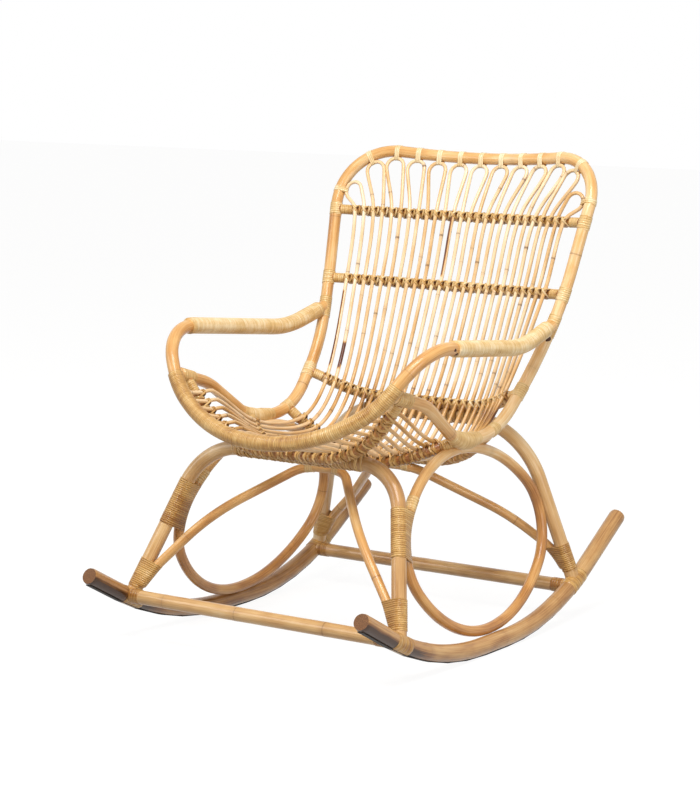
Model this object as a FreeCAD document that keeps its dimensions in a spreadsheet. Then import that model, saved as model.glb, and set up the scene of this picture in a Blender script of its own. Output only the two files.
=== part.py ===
import FreeCAD, Part
import math
import os

import Sketcher

# Rattan rocking chair. Bent rattan poles make the rockers, legs, hoops, seat and back frame,
# thirteen hairpins of thin cane make the seat and back, and rattan peel binds the joints.
# Millimetres. X is to the sitter's left, Y to the rear, Z up. The origin lies on the floor,
# midway between the rockers, under the flat middle of their curve.

SIZES = [
    ("fit_gap", 0.25, "gap left between two poles that touch"),
    ("rocker_diameter", 32, "rocker pole"),
    ("rocker_spread", 600, "between the centre lines of the two rockers"),
    ("rocker_front_reach", 411, "rocker's front end, ahead of the origin"),
    ("rocker_front_rise", 123, "front end above the lowest run"),
    ("rocker_front_turn", 183, "front bend's corner, ahead of the origin"),
    ("rocker_rear_reach", 470, "rocker's rear end, behind the origin"),
    ("rocker_rear_rise", 158, "rear end above the lowest run"),
    ("rocker_rear_turn", 215, "rear bend's corner, behind the origin"),
    ("rocker_front_bend", 640, "radius of a rocker's front bend"),
    ("rocker_rear_bend", 560, "radius of a rocker's rear bend"),
    ("wear_strip_width", 12, "rubber strip under a rocker, from side to side"),
    ("wear_strip_thickness", 1.6, "rubber strip under a rocker, from top to bottom"),
    ("wear_strip_inset", 6, "end of a rubber strip from the end of its rocker"),
    ("leg_diameter", 27, "poles of the two leg arches"),
    ("front_foot_place", 296, "front foot on the rocker, ahead of the origin"),
    ("front_arch_place", 174, "top bar of the front arch, ahead of the origin"),
    ("front_arch_height", 358, "top bar of the front arch above the floor"),
    ("front_arch_half_width", 216, "corner of the front arch from the middle"),
    ("front_arch_bend", 105, "bend radius of the front arch"),
    ("rear_foot_place", 302, "rear foot on the rocker, behind the origin"),
    ("rear_arch_place", 245, "top bar of the rear arch, behind the origin"),
    ("rear_arch_height", 382, "top bar of the rear arch above the floor"),
    ("rear_arch_half_width", 212, "corner of the rear arch from the middle"),
    ("rear_arch_bend", 150, "bend radius of the rear arch"),
    ("stretcher_diameter", 26, "bars between the rockers"),
    ("front_stretcher_place", 309, "front bar, ahead of the origin"),
    ("rear_stretcher_place", 287, "rear bar, behind the origin"),
    ("brace_diameter", 17.5, "poles of the two brace arches"),
    ("brace_foot_height", 104, "lower end of a brace beside its leg"),
    ("brace_ankle_height", 142, "where a brace leaves its leg, above the floor"),
    ("brace_ankle_bend", 150, "bend radius where a brace leaves its leg"),
    ("brace_top_half_width", 45, "flat top of a brace arch, from the middle"),
    ("brace_top_bend", 60, "bend radius at a brace arch's top"),
    ("brace_knee_bend", 300, "bend radius half way up a brace"),
    ("front_brace_top_place", 97, "top of the front brace, ahead of the origin"),
    ("front_brace_top_height", 323, "top of the front brace above the floor"),
    ("front_brace_knee_half_width", 165, "knee of the front brace from the middle"),
    ("front_brace_knee_place", 225, "knee of the front brace, ahead of the origin"),
    ("front_brace_knee_height", 239, "knee of the front brace above the floor"),
    ("rear_brace_top_place", 129, "top of the rear brace, behind the origin"),
    ("rear_brace_top_height", 296, "top of the rear brace above the floor"),
    ("rear_brace_knee_half_width", 181, "knee of the rear brace from the middle"),
    ("rear_brace_knee_place", 255, "knee of the rear brace, behind the origin"),
    ("rear_brace_knee_height", 199, "knee of the rear brace above the floor"),
    ("hoop_diameter", 20, "pole of a side hoop"),
    ("hoop_end_bend", 112, "radius of a hoop's front and rear ends"),
    ("hoop_foot_lean", 30, "angle from the rocker's top to the hoop, inward"),
    ("hoop_head_lean", 40, "angle from the seat side's underside to the hoop, inward"),
    ("hoop_place", 12, "top and bottom of a hoop, behind the origin"),
    ("frame_diameter", 23, "poles of the back frame and seat sides"),
    ("seat_side_height", 381, "lowest run of a seat side above the floor"),
    ("seat_side_half_width", 235, "lowest run of a seat side from the middle"),
    ("splice_place", 55, "joint of seat side and back frame, behind the origin"),
    ("seat_side_dip_place", 11, "seat side's low corner, ahead of the origin"),
    ("seat_side_shoulder_half_width", 244, "seat side's high corner from the middle"),
    ("seat_side_shoulder_place", 129, "seat side's high corner, ahead of the origin"),
    ("seat_side_shoulder_height", 465, "seat side's high corner above the floor"),
    ("seat_side_front_height", 496, "seat side's front end on the rim above the floor"),
    ("seat_side_bend", 120, "radius of the seat side's two bends"),
    ("post_foot_place", 123, "corner from seat side to back post, behind the origin"),
    ("post_foot_bend", 150, "bend radius from seat side to back post"),
    ("post_lower_half_width", 249, "post's lower corner from the middle"),
    ("post_lower_place", 236, "post's lower corner, behind the origin"),
    ("post_lower_height", 498, "post's lower corner above the floor"),
    ("post_lower_bend", 450, "bend radius at the post's lower corner"),
    ("post_upper_half_width", 271, "post's upper corner from the middle"),
    ("post_upper_place", 297, "post's upper corner, behind the origin"),
    ("post_upper_height", 613, "post's upper corner above the floor"),
    ("post_upper_bend", 700, "bend radius at the post's upper corner"),
    ("post_roll_half_width", 289, "start of the rolled back top from the middle"),
    ("post_roll_place", 352, "start of the rolled back top, behind the origin"),
    ("post_roll_height", 772, "start of the rolled back top above the floor"),
    ("post_roll_bend", 150, "bend radius into the rolled back top"),
    ("top_corner_half_width", 292, "corner of the back's top from the middle"),
    ("top_corner_place", 409, "corner of the back's top, behind the origin"),
    ("top_corner_height", 880, "corner of the back's top above the floor"),
    ("top_corner_bend", 122, "bend radius at the corner of the back's top"),
    ("top_dip_place", 460, "middle of the back's top, behind the origin"),
    ("top_dip_height", 854, "middle of the back's top above the floor"),
    ("top_dip_bend", 900, "bend radius at the middle of the back's top"),
    ("arm_pole_diameter", 24, "pole of the arms and front rim"),
    ("arm_joint_height", 569, "arm's end on the back post above the floor"),
    ("arm_dip_half_width", 268, "arm's low corner from the middle"),
    ("arm_dip_place", 153, "arm's low corner, behind the origin"),
    ("arm_dip_height", 538.5, "arm's low corner above the floor"),
    ("arm_dip_bend", 250, "bend radius at the arm's low corner"),
    ("arm_front_half_width", 288, "arm's front corner from the middle"),
    ("arm_front_place", 197, "arm's front corner, ahead of the origin"),
    ("arm_front_height", 577, "arm's front corner above the floor"),
    ("arm_front_bend", 100, "bend radius at the front of an arm"),
    ("rim_side_half_width", 225, "side corner of the front rim from the middle"),
    ("rim_side_place", 244, "side corner of the front rim, ahead of the origin"),
    ("rim_side_height", 473, "side corner of the front rim above the floor"),
    ("rim_side_bend", 200, "bend radius at the side of the front rim"),
    ("rim_floor_half_width", 103, "lowest run of the front rim from the middle"),
    ("rim_floor_place", 294, "lowest run of the front rim, ahead of the origin"),
    ("rim_floor_height", 398.5, "lowest run of the front rim above the floor"),
    ("rim_floor_bend", 300, "bend radius at the floor of the front rim"),
    ("rail_diameter", 18, "rails that the canes cross"),
    ("upper_rail_height", 756, "upper back rail above the floor"),
    ("middle_rail_height", 623, "middle back rail above the floor"),
    ("lower_rail_height", 450, "ends of the lower back rail above the floor"),
    ("back_rail_bow", 48, "how far the upper and middle back rails bow to the rear"),
    ("back_rail_dip", 6, "middle of the upper and middle back rails below their ends"),
    ("back_rail_bend", 900, "bend radius of the upper and middle back rails"),
    ("rear_seat_rail_place", 108, "ends of the rear seat rail, behind the origin"),
    ("middle_seat_rail_place", 12, "ends of the middle seat rail, ahead of the origin"),
    ("front_seat_rail_place", 200, "ends of the front seat rail, ahead of the origin"),
    ("lower_rail_setoff", 7, "lower back rail ahead of the rear arch's top bar"),
    ("front_rail_setoff", 1.2, "front seat rail's spare gap ahead of the front arch's top bar"),
    ("seat_rail_half_floor", 150, "corner of a seat rail's sag from the middle"),
    ("seat_rail_bend", 175, "bend radius of a seat rail's sag"),
    ("cane_diameter", 7.5, "canes of the seat and back"),
    ("cane_spread", 0.85, "share of each rail that the canes cover"),
    ("crown_diameter", 36, "round top of a hairpin of cane, between its centre lines"),
    ("crown_fan", 1.22, "spacing of the hairpins' tops over their spacing on the upper back rail"),
    ("corner_loop_shift", 14, "how much further out the hairpins at the back's top corners are tied"),
    ("end_loop_rise", 41, "where an end hairpin meets its post, along the post from the upper back rail"),
    ("wrap_thickness", 2.2, "rattan peel wound on a pole"),
    ("peel_thickness", 1.8, "strip of peel that binds a joint"),
    ("foot_binding_height", 107, "lower end of a foot's binding above the floor"),
    ("foot_binding_length", 39, "a foot's binding, end to end"),
    ("hoop_binding_height", 212, "lower end of the binding of hoop and front leg above the floor"),
    ("hoop_binding_length", 80, "binding of hoop and front leg, end to end"),
    ("binding_swell", 1.2, "how much wider a binding is than its leg"),
    ("arm_wrap_start", 100, "front end of an arm's wrap, ahead of the origin"),
    ("rim_wrap_height", 512, "ends of the rim's wrap above the floor"),
]

# Flat sides of a pole's section, by its thickness, and of a binding's
ROUND_SIDES = 10
SLIM_SIDES = 8
CANE_SIDES = 5
BINDING_SIDES = 8
# Canes across the seat, two to each hairpin
CANE_COUNT = 26

doc = FreeCAD.newDocument("rattan_rocking_chair")
sheet = doc.addObject("Spreadsheet::Sheet", "Sizes")
for row, (alias, value, note) in enumerate(SIZES, start=1):
    sheet.set(f"A{row}", alias)
    sheet.set(f"B{row}", str(value))
    sheet.setAlias(f"B{row}", alias)
    sheet.set(f"C{row}", note)
doc.recompute()

ACROSS = FreeCAD.Vector(1, 0, 0)
UP = FreeCAD.Vector(0, 0, 1)
TO_SITTER = FreeCAD.Vector(0, -1, 1)
# Length of the tool that shapes a pole's end
COPE_LENGTH = 120
# Most of a straight run that the bends at its ends may take
RUN_SHARE = 0.98
# Most of a hoop's half height that the radius of its ends may take
END_SHARE = 0.8
# How far a bend's chords may lie inside it
BEND_SAG = 0.85
# Halvings in a search along a path
SEARCH_STEPS = 50
pieces = []


def size(alias):
    return float(sheet.get(alias))


def radius(alias):
    return size(alias) / 2


def point(x, y, z):
    return FreeCAD.Vector(x, y, z)


def mirrored(place):
    return point(-place.x, place.y, place.z)


def symmetric(corners):
    """The corners of a pole's left half, from its end to the middle, then those of its right half."""
    other = [(mirrored(place), bend) for place, bend in reversed(corners)]
    if abs(corners[-1][0].x) < 1e-6:
        other = other[1:]
    return corners + other


def arc_points(centre, first, second, bend, start, end, sag=BEND_SAG):
    """Points on an arc between two angles, close enough that its chords stay within the sag."""
    step = 2 * math.acos(1 - sag / bend)
    count = max(2, math.ceil((end - start) / step))
    angles = [start + (end - start) * number / count for number in range(count + 1)]
    return [centre + (first * math.cos(angle) + second * math.sin(angle)) * bend for angle in angles]


def runs_through(places):
    """Straight runs from each place to the next."""
    return [Part.makeLine(start, end) for start, end in zip(places, places[1:]) if start != end]


class Path:
    """A pole's centre line, with each bend drawn as short straight runs."""

    def __init__(self, corners=(), edges=()):
        self.edges = list(edges)
        if corners:
            self.follow(corners)
        self.length = sum(edge.Length for edge in self.edges)

    def follow(self, corners):
        """Round each corner by its bend radius, or by as much of it as the runs beside it allow."""
        backs = [0] * len(corners)
        insides = [None] * len(corners)
        for number in range(1, len(corners) - 1):
            place, bend = corners[number]
            to_last = (corners[number - 1][0] - place).normalize()
            to_next = (corners[number + 1][0] - place).normalize()
            half_angle = to_last.getAngle(to_next) / 2
            backs[number] = bend / math.tan(half_angle)
            insides[number] = (to_last, (to_last + to_next).normalize(), half_angle)
        limits = [1.0] * len(corners)
        for number in range(len(corners) - 1):
            run = (corners[number + 1][0] - corners[number][0]).Length
            taken = backs[number] + backs[number + 1]
            fit = min(1.0, RUN_SHARE * run / taken) if taken else 1.0
            limits[number] = min(limits[number], fit)
            limits[number + 1] = min(limits[number + 1], fit)
        route = [corners[0][0]]
        for number in range(1, len(corners) - 1):
            place = corners[number][0]
            to_last, inside, half_angle = insides[number]
            bend = backs[number] * limits[number] * math.tan(half_angle)
            centre = place + inside * (bend / math.sin(half_angle))
            outward = to_last.cross(inside).cross(to_last).normalize() * -1
            route += arc_points(centre, outward, to_last * -1, bend, 0, math.pi - 2 * half_angle)
        route.append(corners[-1][0])
        self.edges = runs_through(route)

    def wire(self):
        return Part.Wire(self.edges)

    def at(self, distance):
        """The point and the direction at a distance along the path."""
        left = min(max(distance, 0), self.length)
        for edge in self.edges:
            if left <= edge.Length or edge is self.edges[-1]:
                place = edge.getParameterByLength(min(left, edge.Length))
                return edge.valueAt(place), edge.tangentAt(place)
            left -= edge.Length

    def share(self, part):
        """The point and direction at a share of the half length: 1 is the left end, -1 the right."""
        return self.at(self.length * (1 - part) / 2)

    def where(self, axis, value, start=0, end=None):
        """The distance along the path where one coordinate takes a value between two distances."""
        low, high = start, self.length if end is None else end
        rising = getattr(self.at(high)[0], axis) > getattr(self.at(low)[0], axis)
        for _ in range(SEARCH_STEPS):
            middle = (low + high) / 2
            if (getattr(self.at(middle)[0], axis) < value) == rising:
                low = middle
            else:
                high = middle
        return low

    def between(self, start, end):
        """The stretch of the path between two distances."""
        stretch = []
        passed = 0
        for edge in self.edges:
            first = max(start - passed, 0)
            last = min(end - passed, edge.Length)
            if last - first > 1e-6:
                low = edge.getParameterByLength(first)
                high = edge.getParameterByLength(last)
                stretch.append(edge.Curve.toShape(low, high))
            passed += edge.Length
        return Path(edges=stretch)


def across(place, direction):
    """A placement whose Z axis runs along a direction."""
    return FreeCAD.Placement(place, FreeCAD.Rotation(UP, direction))


def pole(name, path, section_radius, sides, piece=True):
    """A pole of one thickness, swept along its centre line."""
    line = doc.addObject("Part::Feature", name + "_centre_line")
    line.Shape = path.wire()
    section = doc.addObject("Part::RegularPolygon", name + "_section")
    section.Polygon = sides
    section.setExpression("Circumradius", section_radius)
    section.Placement = across(*path.at(0))
    swept = doc.addObject("Part::Sweep", name)
    swept.Sections = [section]
    swept.Spine = (line, [f"Edge{number + 1}" for number in range(len(path.edges))])
    swept.Solid = True
    swept.Frenet = False
    if piece:
        pieces.append(swept)
    return swept


def cope(name, blank, seats):
    """Cut the ends of a pole to fit round the poles that they meet."""
    shaped = blank
    for number, ((place, direction), seat_radius) in enumerate(seats, start=1):
        seat = doc.addObject("Part::Cylinder", f"{name}_seat_{number}")
        seat.setExpression("Radius", seat_radius)
        seat.Height = COPE_LENGTH
        seat.Placement = across(place - direction * (COPE_LENGTH / 2), direction)
        cut = doc.addObject("Part::Cut", f"{name}_coped_{number}")
        cut.Base = shaped
        cut.Tool = seat
        shaped = cut
    shaped.Label = name
    pieces.append(shaped)
    return shaped


def round_bar(name, start, end, diameter_alias):
    """A straight round bar along X between two points, drawn as a circle and padded."""
    body = doc.addObject("PartDesign::Body", name + "_bar")
    sketch = body.newObject("Sketcher::SketchObject", name + "_circle")
    side_plane = [plane for plane in body.Origin.OriginFeatures if plane.Role == "YZ_Plane"][0]
    sketch.AttachmentSupport = [(side_plane, "")]
    sketch.MapMode = "FlatFace"
    circle = sketch.addGeometry(Part.Circle(point(0, 0, 0), UP, radius(diameter_alias)))
    sketch.addConstraint(Sketcher.Constraint("Coincident", circle, 3, -1, 1))
    diameter = sketch.addConstraint(Sketcher.Constraint("Diameter", circle, size(diameter_alias)))
    sketch.setExpression(f"Constraints[{diameter}]", f"Sizes.{diameter_alias}")
    pad = body.newObject("PartDesign::Pad", name + "_pad")
    pad.Profile = sketch
    pad.Length = end.x - start.x
    body.Placement = FreeCAD.Placement(start, FreeCAD.Rotation())
    return body


# Rockers and their wear strips

rocker_flat = radius("rocker_diameter") * math.cos(math.pi / ROUND_SIDES)
floor_to_rocker = size("wear_strip_thickness") + size("fit_gap") + rocker_flat


def rocker_path(half_spread, drop=0):
    """The centre line of a rocker, or a line that runs below it by a drop."""
    front_length = size("rocker_front_reach") - size("rocker_front_turn")
    rear_length = size("rocker_rear_reach") - size("rocker_rear_turn")
    front_run = math.atan2(size("rocker_front_rise"), front_length)
    rear_run = math.atan2(size("rocker_rear_rise"), rear_length)
    height = floor_to_rocker - drop
    front_turn = -size("rocker_front_turn") - drop * math.tan(front_run / 2)
    rear_turn = size("rocker_rear_turn") + drop * math.tan(rear_run / 2)
    front_end = -size("rocker_front_reach") - drop * math.sin(front_run)
    rear_end = size("rocker_rear_reach") + drop * math.sin(rear_run)
    front_top = height + (front_turn - front_end) * math.tan(front_run)
    rear_top = height + (rear_end - rear_turn) * math.tan(rear_run)
    return Path([
        (point(half_spread, front_end, front_top), 0),
        (point(half_spread, front_turn, height), size("rocker_front_bend") + drop),
        (point(half_spread, rear_turn, height), size("rocker_rear_bend") + drop),
        (point(half_spread, rear_end, rear_top), 0),
    ])


half_spread = size("rocker_spread") / 2
right_rocker = rocker_path(-half_spread)
left_rocker = rocker_path(half_spread)
strip_drop = rocker_flat + size("fit_gap") + size("wear_strip_thickness") / 2


def wear_strip(name, path):
    """A rubber strip under a rocker, from just short of one end to just short of the other."""
    inset = size("wear_strip_inset")
    run = path.between(inset, path.length - inset)
    line = doc.addObject("Part::Feature", name + "_centre_line")
    line.Shape = run.wire()
    section = doc.addObject("Part::Plane", name + "_section")
    section.setExpression("Length", "Sizes.wear_strip_width")
    section.setExpression("Width", "Sizes.wear_strip_thickness")
    start, direction = run.at(0)
    turn = FreeCAD.Rotation(ACROSS, ACROSS.cross(direction) * -1, direction, "XZY")
    corner = turn.multVec(point(-size("wear_strip_width") / 2, -size("wear_strip_thickness") / 2, 0))
    section.Placement = FreeCAD.Placement(start + corner, turn)
    strip = doc.addObject("Part::Sweep", name)
    strip.Sections = [section]
    strip.Spine = (line, [f"Edge{number + 1}" for number in range(len(run.edges))])
    strip.Solid = True
    strip.Frenet = False
    pieces.append(strip)


for name, path, place in (("right", right_rocker, -half_spread), ("left", left_rocker, half_spread)):
    pole(f"{name}_rocker", path, "Sizes.rocker_diameter / 2", ROUND_SIDES)
    wear_strip(f"{name}_rocker_wear_strip", rocker_path(place, strip_drop))

rocker_seat = "Sizes.rocker_diameter / 2 + Sizes.fit_gap"


def on_rocker(rocker, place):
    """The point and direction of a rocker at a place along the chair."""
    return rocker.at(rocker.where("y", place))


for name, place in (("front", -size("front_stretcher_place")), ("rear", size("rear_stretcher_place"))):
    joints = [on_rocker(rocker, place) for rocker in (right_rocker, left_rocker)]
    bar = round_bar(f"{name}_stretcher", joints[0][0], joints[1][0], "stretcher_diameter")
    cope(f"{name}_stretcher", bar, [(joint, rocker_seat) for joint in joints])

# Leg arches and brace arches


def leg_path(foot_place, arch_place, arch):
    """An inverted U from the left foot to the right one."""
    foot = on_rocker(left_rocker, foot_place)[0]
    corner = point(size(f"{arch}_arch_half_width"), arch_place, size(f"{arch}_arch_height"))
    return Path(symmetric([(foot, 0), (corner, size(f"{arch}_arch_bend"))]))


front_legs = leg_path(-size("front_foot_place"), -size("front_arch_place"), "front")
rear_legs = leg_path(size("rear_foot_place"), size("rear_arch_place"), "rear")
for name, path, place in (
    ("front", front_legs, -size("front_foot_place")),
    ("rear", rear_legs, size("rear_foot_place")),
):
    blank = pole(f"{name}_leg_arch_blank", path, "Sizes.leg_diameter / 2", ROUND_SIDES, piece=False)
    seats = [(on_rocker(rocker, place), rocker_seat) for rocker in (left_rocker, right_rocker)]
    cope(f"{name}_leg_arch", blank, seats)


def brace_path(legs, side, brace):
    """A slimmer arch from beside the left foot, up under the seat and down to the right foot."""
    foot, along = legs.at(legs.where("z", size("brace_foot_height"), 0, legs.length / 2))
    ankle = legs.at(legs.where("z", size("brace_ankle_height"), 0, legs.length / 2))[0]
    inward = (ACROSS * -1 - along * along.dot(ACROSS * -1)).normalize()
    beside = inward * (radius("leg_diameter") + radius("brace_diameter") + size("fit_gap"))
    knee = point(
        size(f"{brace}_knee_half_width"),
        side * size(f"{brace}_knee_place"),
        size(f"{brace}_knee_height"),
    )
    top = point(
        size("brace_top_half_width"),
        side * size(f"{brace}_top_place"),
        size(f"{brace}_top_height"),
    )
    return Path(symmetric([
        (foot + beside, 0),
        (ankle + beside, size("brace_ankle_bend")),
        (knee, size("brace_knee_bend")),
        (top, size("brace_top_bend")),
    ]))


front_brace = brace_path(front_legs, -1, "front_brace")
rear_brace = brace_path(rear_legs, 1, "rear_brace")
pole("front_brace_arch", front_brace, "Sizes.brace_diameter / 2", SLIM_SIDES)
pole("rear_brace_arch", rear_brace, "Sizes.brace_diameter / 2", SLIM_SIDES)

# Back frame, seat sides, arms and front rim


def corner(name, rearward=1):
    """A named corner on the left side of the chair, behind the origin or ahead of it."""
    return point(size(f"{name}_half_width"), rearward * size(f"{name}_place"), size(f"{name}_height"))


def bent_corner(name, rearward=1):
    return corner(name, rearward), size(f"{name}_bend")


seat_side_x = size("seat_side_half_width")
seat_side_z = size("seat_side_height")
splice = point(seat_side_x, size("splice_place"), seat_side_z)
back_frame = Path(symmetric([
    (splice, 0),
    (point(seat_side_x, size("post_foot_place"), seat_side_z), size("post_foot_bend")),
    bent_corner("post_lower"),
    bent_corner("post_upper"),
    bent_corner("post_roll"),
    bent_corner("top_corner"),
    (point(0, size("top_dip_place"), size("top_dip_height")), size("top_dip_bend")),
]))
pole("back_frame", back_frame, "Sizes.frame_diameter / 2", ROUND_SIDES)
frame_seat = "Sizes.frame_diameter / 2 + Sizes.fit_gap"
top_start = back_frame.where("z", size("post_roll_height"), 0, back_frame.length / 3)


def on_post(height):
    """The point and direction of the left back post at a height."""
    return back_frame.at(back_frame.where("z", height, 0, top_start))


def both_sides(place, direction):
    """A joint on the left side of the chair and its mirror image on the right."""
    return [(place, direction), (mirrored(place), mirrored(direction))]


arm_end = on_post(size("arm_joint_height"))
arm_pole = Path(symmetric([
    (arm_end[0], 0),
    bent_corner("arm_dip"),
    bent_corner("arm_front", -1),
    bent_corner("rim_side", -1),
    bent_corner("rim_floor", -1),
]))
arm_radius = "Sizes.arm_pole_diameter / 2"
arm_blank = pole("arm_and_front_rim_blank", arm_pole, arm_radius, ROUND_SIDES, piece=False)
cope("arm_and_front_rim", arm_blank, [(joint, frame_seat) for joint in both_sides(*arm_end)])
arm_front_start = arm_pole.where("y", corner("arm_front", -1).y / 2, 0, arm_pole.length / 2)


def on_rim(height):
    """The distance along the arm pole where the rim's left side is at a height."""
    return arm_pole.where("z", height, arm_front_start, arm_pole.length / 2)


rim_joint = arm_pole.at(on_rim(size("seat_side_front_height")))
wrap_seat = "Sizes.arm_pole_diameter / 2 + Sizes.wrap_thickness + 2 * Sizes.fit_gap"
seat_side_corners = [
    (splice - point(0, size("fit_gap"), 0), 0),
    (point(seat_side_x, -size("seat_side_dip_place"), seat_side_z), size("seat_side_bend")),
    (corner("seat_side_shoulder", -1), size("seat_side_bend")),
    (rim_joint[0], 0),
]
seat_side = Path(seat_side_corners)
frame_radius = "Sizes.frame_diameter / 2"
for name, mirror in (("left", False), ("right", True)):
    corners = seat_side_corners
    if mirror:
        corners = [(mirrored(place), bend) for place, bend in seat_side_corners]
    blank = pole(f"{name}_seat_side_blank", Path(corners), frame_radius, ROUND_SIDES, piece=False)
    cope(f"{name}_seat_side", blank, [(both_sides(*rim_joint)[mirror], wrap_seat)])

# Rails that the canes cross

rail_radius = "Sizes.rail_diameter / 2"
rails = {}


def fitted_rail(name, joint, turn, bend):
    """A rail bent at a corner on each side, or at one in the middle, with its ends fitted to the frame."""
    path = Path(symmetric([(joint[0], 0), (turn, bend)]))
    blank = pole(f"{name}_blank", path, rail_radius, SLIM_SIDES, piece=False)
    cope(name, blank, [(end, frame_seat) for end in both_sides(*joint)])
    return path


# The corner at the middle of a bow lies twice as far out as the bow itself
bow_corner = point(0, size("back_rail_bow"), -size("back_rail_dip")) * 2
for name in ("upper", "middle"):
    joint = on_post(size(f"{name}_rail_height"))
    turn = point(0, joint[0].y, joint[0].z) + bow_corner
    rails[name] = fitted_rail(f"{name}_back_rail", joint, turn, size("back_rail_bend"))


def sagging_rail(name, joint, floor):
    """A rail that sags from its two ends to a level run at the middle of the seat."""
    return fitted_rail(name, joint, floor, size("seat_rail_bend"))


def stacked(lower, upper):
    """The distance between the centre lines of two poles that touch."""
    return radius(lower) + radius(upper) + size("fit_gap")


floor_x = size("seat_rail_half_floor")
rest = stacked("leg_diameter", "rail_diameter")
forward = size("lower_rail_setoff")
lower_floor = point(
    floor_x,
    size("rear_arch_place") - forward,
    size("rear_arch_height") + math.sqrt(rest**2 - forward**2),
)
rails["lower"] = sagging_rail("lower_back_rail", on_post(size("lower_rail_height")), lower_floor)

on_brace = stacked("brace_diameter", "rail_diameter")
rear_floor = point(floor_x, size("rear_brace_top_place"), size("rear_brace_top_height") + on_brace)
rear_joint = back_frame.at(back_frame.where("y", size("rear_seat_rail_place"), 0, top_start))
rails["rear"] = sagging_rail("rear_seat_rail", rear_joint, rear_floor)

middle_floor = point(floor_x, -size("front_brace_top_place"), size("front_brace_top_height") + on_brace)
middle_joint = seat_side.at(seat_side.where("y", -size("middle_seat_rail_place")))
rails["seat"] = sagging_rail("middle_seat_rail", middle_joint, middle_floor)

flush = radius("leg_diameter") - radius("rail_diameter")
beside = math.sqrt((rest + size("front_rail_setoff")) ** 2 - flush**2)
front_floor = point(floor_x, -size("front_arch_place") - beside, size("front_arch_height") + flush)
front_joint = seat_side.at(seat_side.where("y", -size("front_seat_rail_place")))
rails["front"] = sagging_rail("front_seat_rail", front_joint, front_floor)

# Side hoops


def half_oval(centre, forth, upward, reach, rise, end_bend):
    """Half of an oval, from its top round its end to its bottom, on three tangent arcs."""
    side_bend = ((reach - end_bend) ** 2 + rise**2 - end_bend**2) / (2 * (rise - end_bend))
    side_drop = upward * (rise - side_bend)
    end_centre = centre + forth * (reach - end_bend)
    meeting = math.atan2(reach - end_bend, side_bend - rise)
    top = arc_points(centre + side_drop, upward, forth, side_bend, 0, meeting)
    end = arc_points(end_centre, upward, forth, end_bend, meeting, math.pi - meeting)
    bottom = arc_points(centre - side_drop, upward, forth, side_bend, math.pi - meeting, math.pi)
    return top + end[1:-1] + bottom


def touching_reach(line, shape_at, distance, low, high):
    """The reach at which a growing shape comes to within a distance of a line."""
    for _ in range(SEARCH_STEPS):
        middle = (low + high) / 2
        if Part.Wire(runs_through(shape_at(middle))).distToShape(line.wire())[0] > distance:
            low = middle
        else:
            high = middle
    return low


def hoop_path():
    """An oval ring that rests on the left rocker and touches both legs and the seat side."""
    on_floor = on_rocker(left_rocker, size("hoop_place"))[0]
    under_seat = seat_side.at(seat_side.where("y", size("hoop_place")))[0]
    lean_low = math.radians(size("hoop_foot_lean"))
    lean_high = math.radians(size("hoop_head_lean"))
    bottom_gap = stacked("rocker_diameter", "hoop_diameter")
    top_gap = stacked("frame_diameter", "hoop_diameter")
    bottom = on_floor + point(-math.sin(lean_low), 0, math.cos(lean_low)) * bottom_gap
    top = under_seat + point(-math.sin(lean_high), 0, -math.cos(lean_high)) * top_gap
    centre = (bottom + top) * 0.5
    upward = (top - bottom).normalize()
    rise = (top - bottom).Length / 2
    end_bend = min(size("hoop_end_bend"), END_SHARE * rise)
    gap = stacked("leg_diameter", "hoop_diameter")
    halves = []
    for legs, forth in ((front_legs, point(0, -1, 0)), (rear_legs, point(0, 1, 0))):
        def half_at(reach):
            return half_oval(centre, forth, upward, reach, rise, end_bend)

        halves.append(half_at(touching_reach(legs, half_at, gap, rise, 2 * rise)))
    front, rear = halves
    start = (front[0] + front[1]) * 0.5
    return Path(edges=runs_through([start] + front[1:] + rear[-2::-1] + [start]))


left_hoop = hoop_path()
right_hoop = Path(edges=[edge.mirror(point(0, 0, 0), ACROSS) for edge in left_hoop.edges])
pole("left_side_hoop", left_hoop, "Sizes.hoop_diameter / 2", SLIM_SIDES)
pole("right_side_hoop", right_hoop, "Sizes.hoop_diameter / 2", SLIM_SIDES)

# Canes: each hairpin hangs from the top of the back and runs down over the rails to the front rim

cane_reach = radius("cane_diameter") + size("fit_gap")
rim_start = on_rim(size("seat_side_front_height"))
rim = arm_pole.between(rim_start, arm_pole.length - rim_start)
under_rim = -(radius("arm_pole_diameter") + size("wrap_thickness") + size("fit_gap") + cane_reach)
over_rail = radius("rail_diameter") + cane_reach
# The poles that a cane crosses, how far its centre line lies from theirs, and its chords after each
CROSSINGS = [
    (rim, under_rim, 1),
    (rails["front"], over_rail, 1),
    (rails["seat"], over_rail, 2),
    (rails["rear"], over_rail, 3),
    (rails["lower"], over_rail, 2),
    (rails["middle"], over_rail, 1),
    (rails["upper"], over_rail, 1),
]
# How far past the front arch's top bar a cane stays level
LEVEL_STRETCH = 4
# How far the chords of a hairpin's bend may lie inside it
CROWN_SAG = 2


def cane_leg(share):
    """The points of one leg of a hairpin, from the front rim to the upper rail."""
    lines = [path.share(share) for path, _, _ in CROSSINGS]
    touches = []
    for number, (place, along) in enumerate(lines):
        before = lines[max(number - 1, 0)][0]
        after = lines[min(number + 1, len(lines) - 1)][0]
        out = along.cross(after - before).normalize()
        if out.dot(TO_SITTER) < 0:
            out = out * -1
        touches.append(place + out * CROSSINGS[number][1])
    behind_bar = touches[1] + point(0, -size("front_arch_place") - front_floor.y + LEVEL_STRETCH, 0)
    chords = [1, 1, 1] + [row[2] for row in CROSSINGS[2:-1]]
    return smooth(touches[:2] + [behind_bar] + touches[2:], chords)


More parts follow.
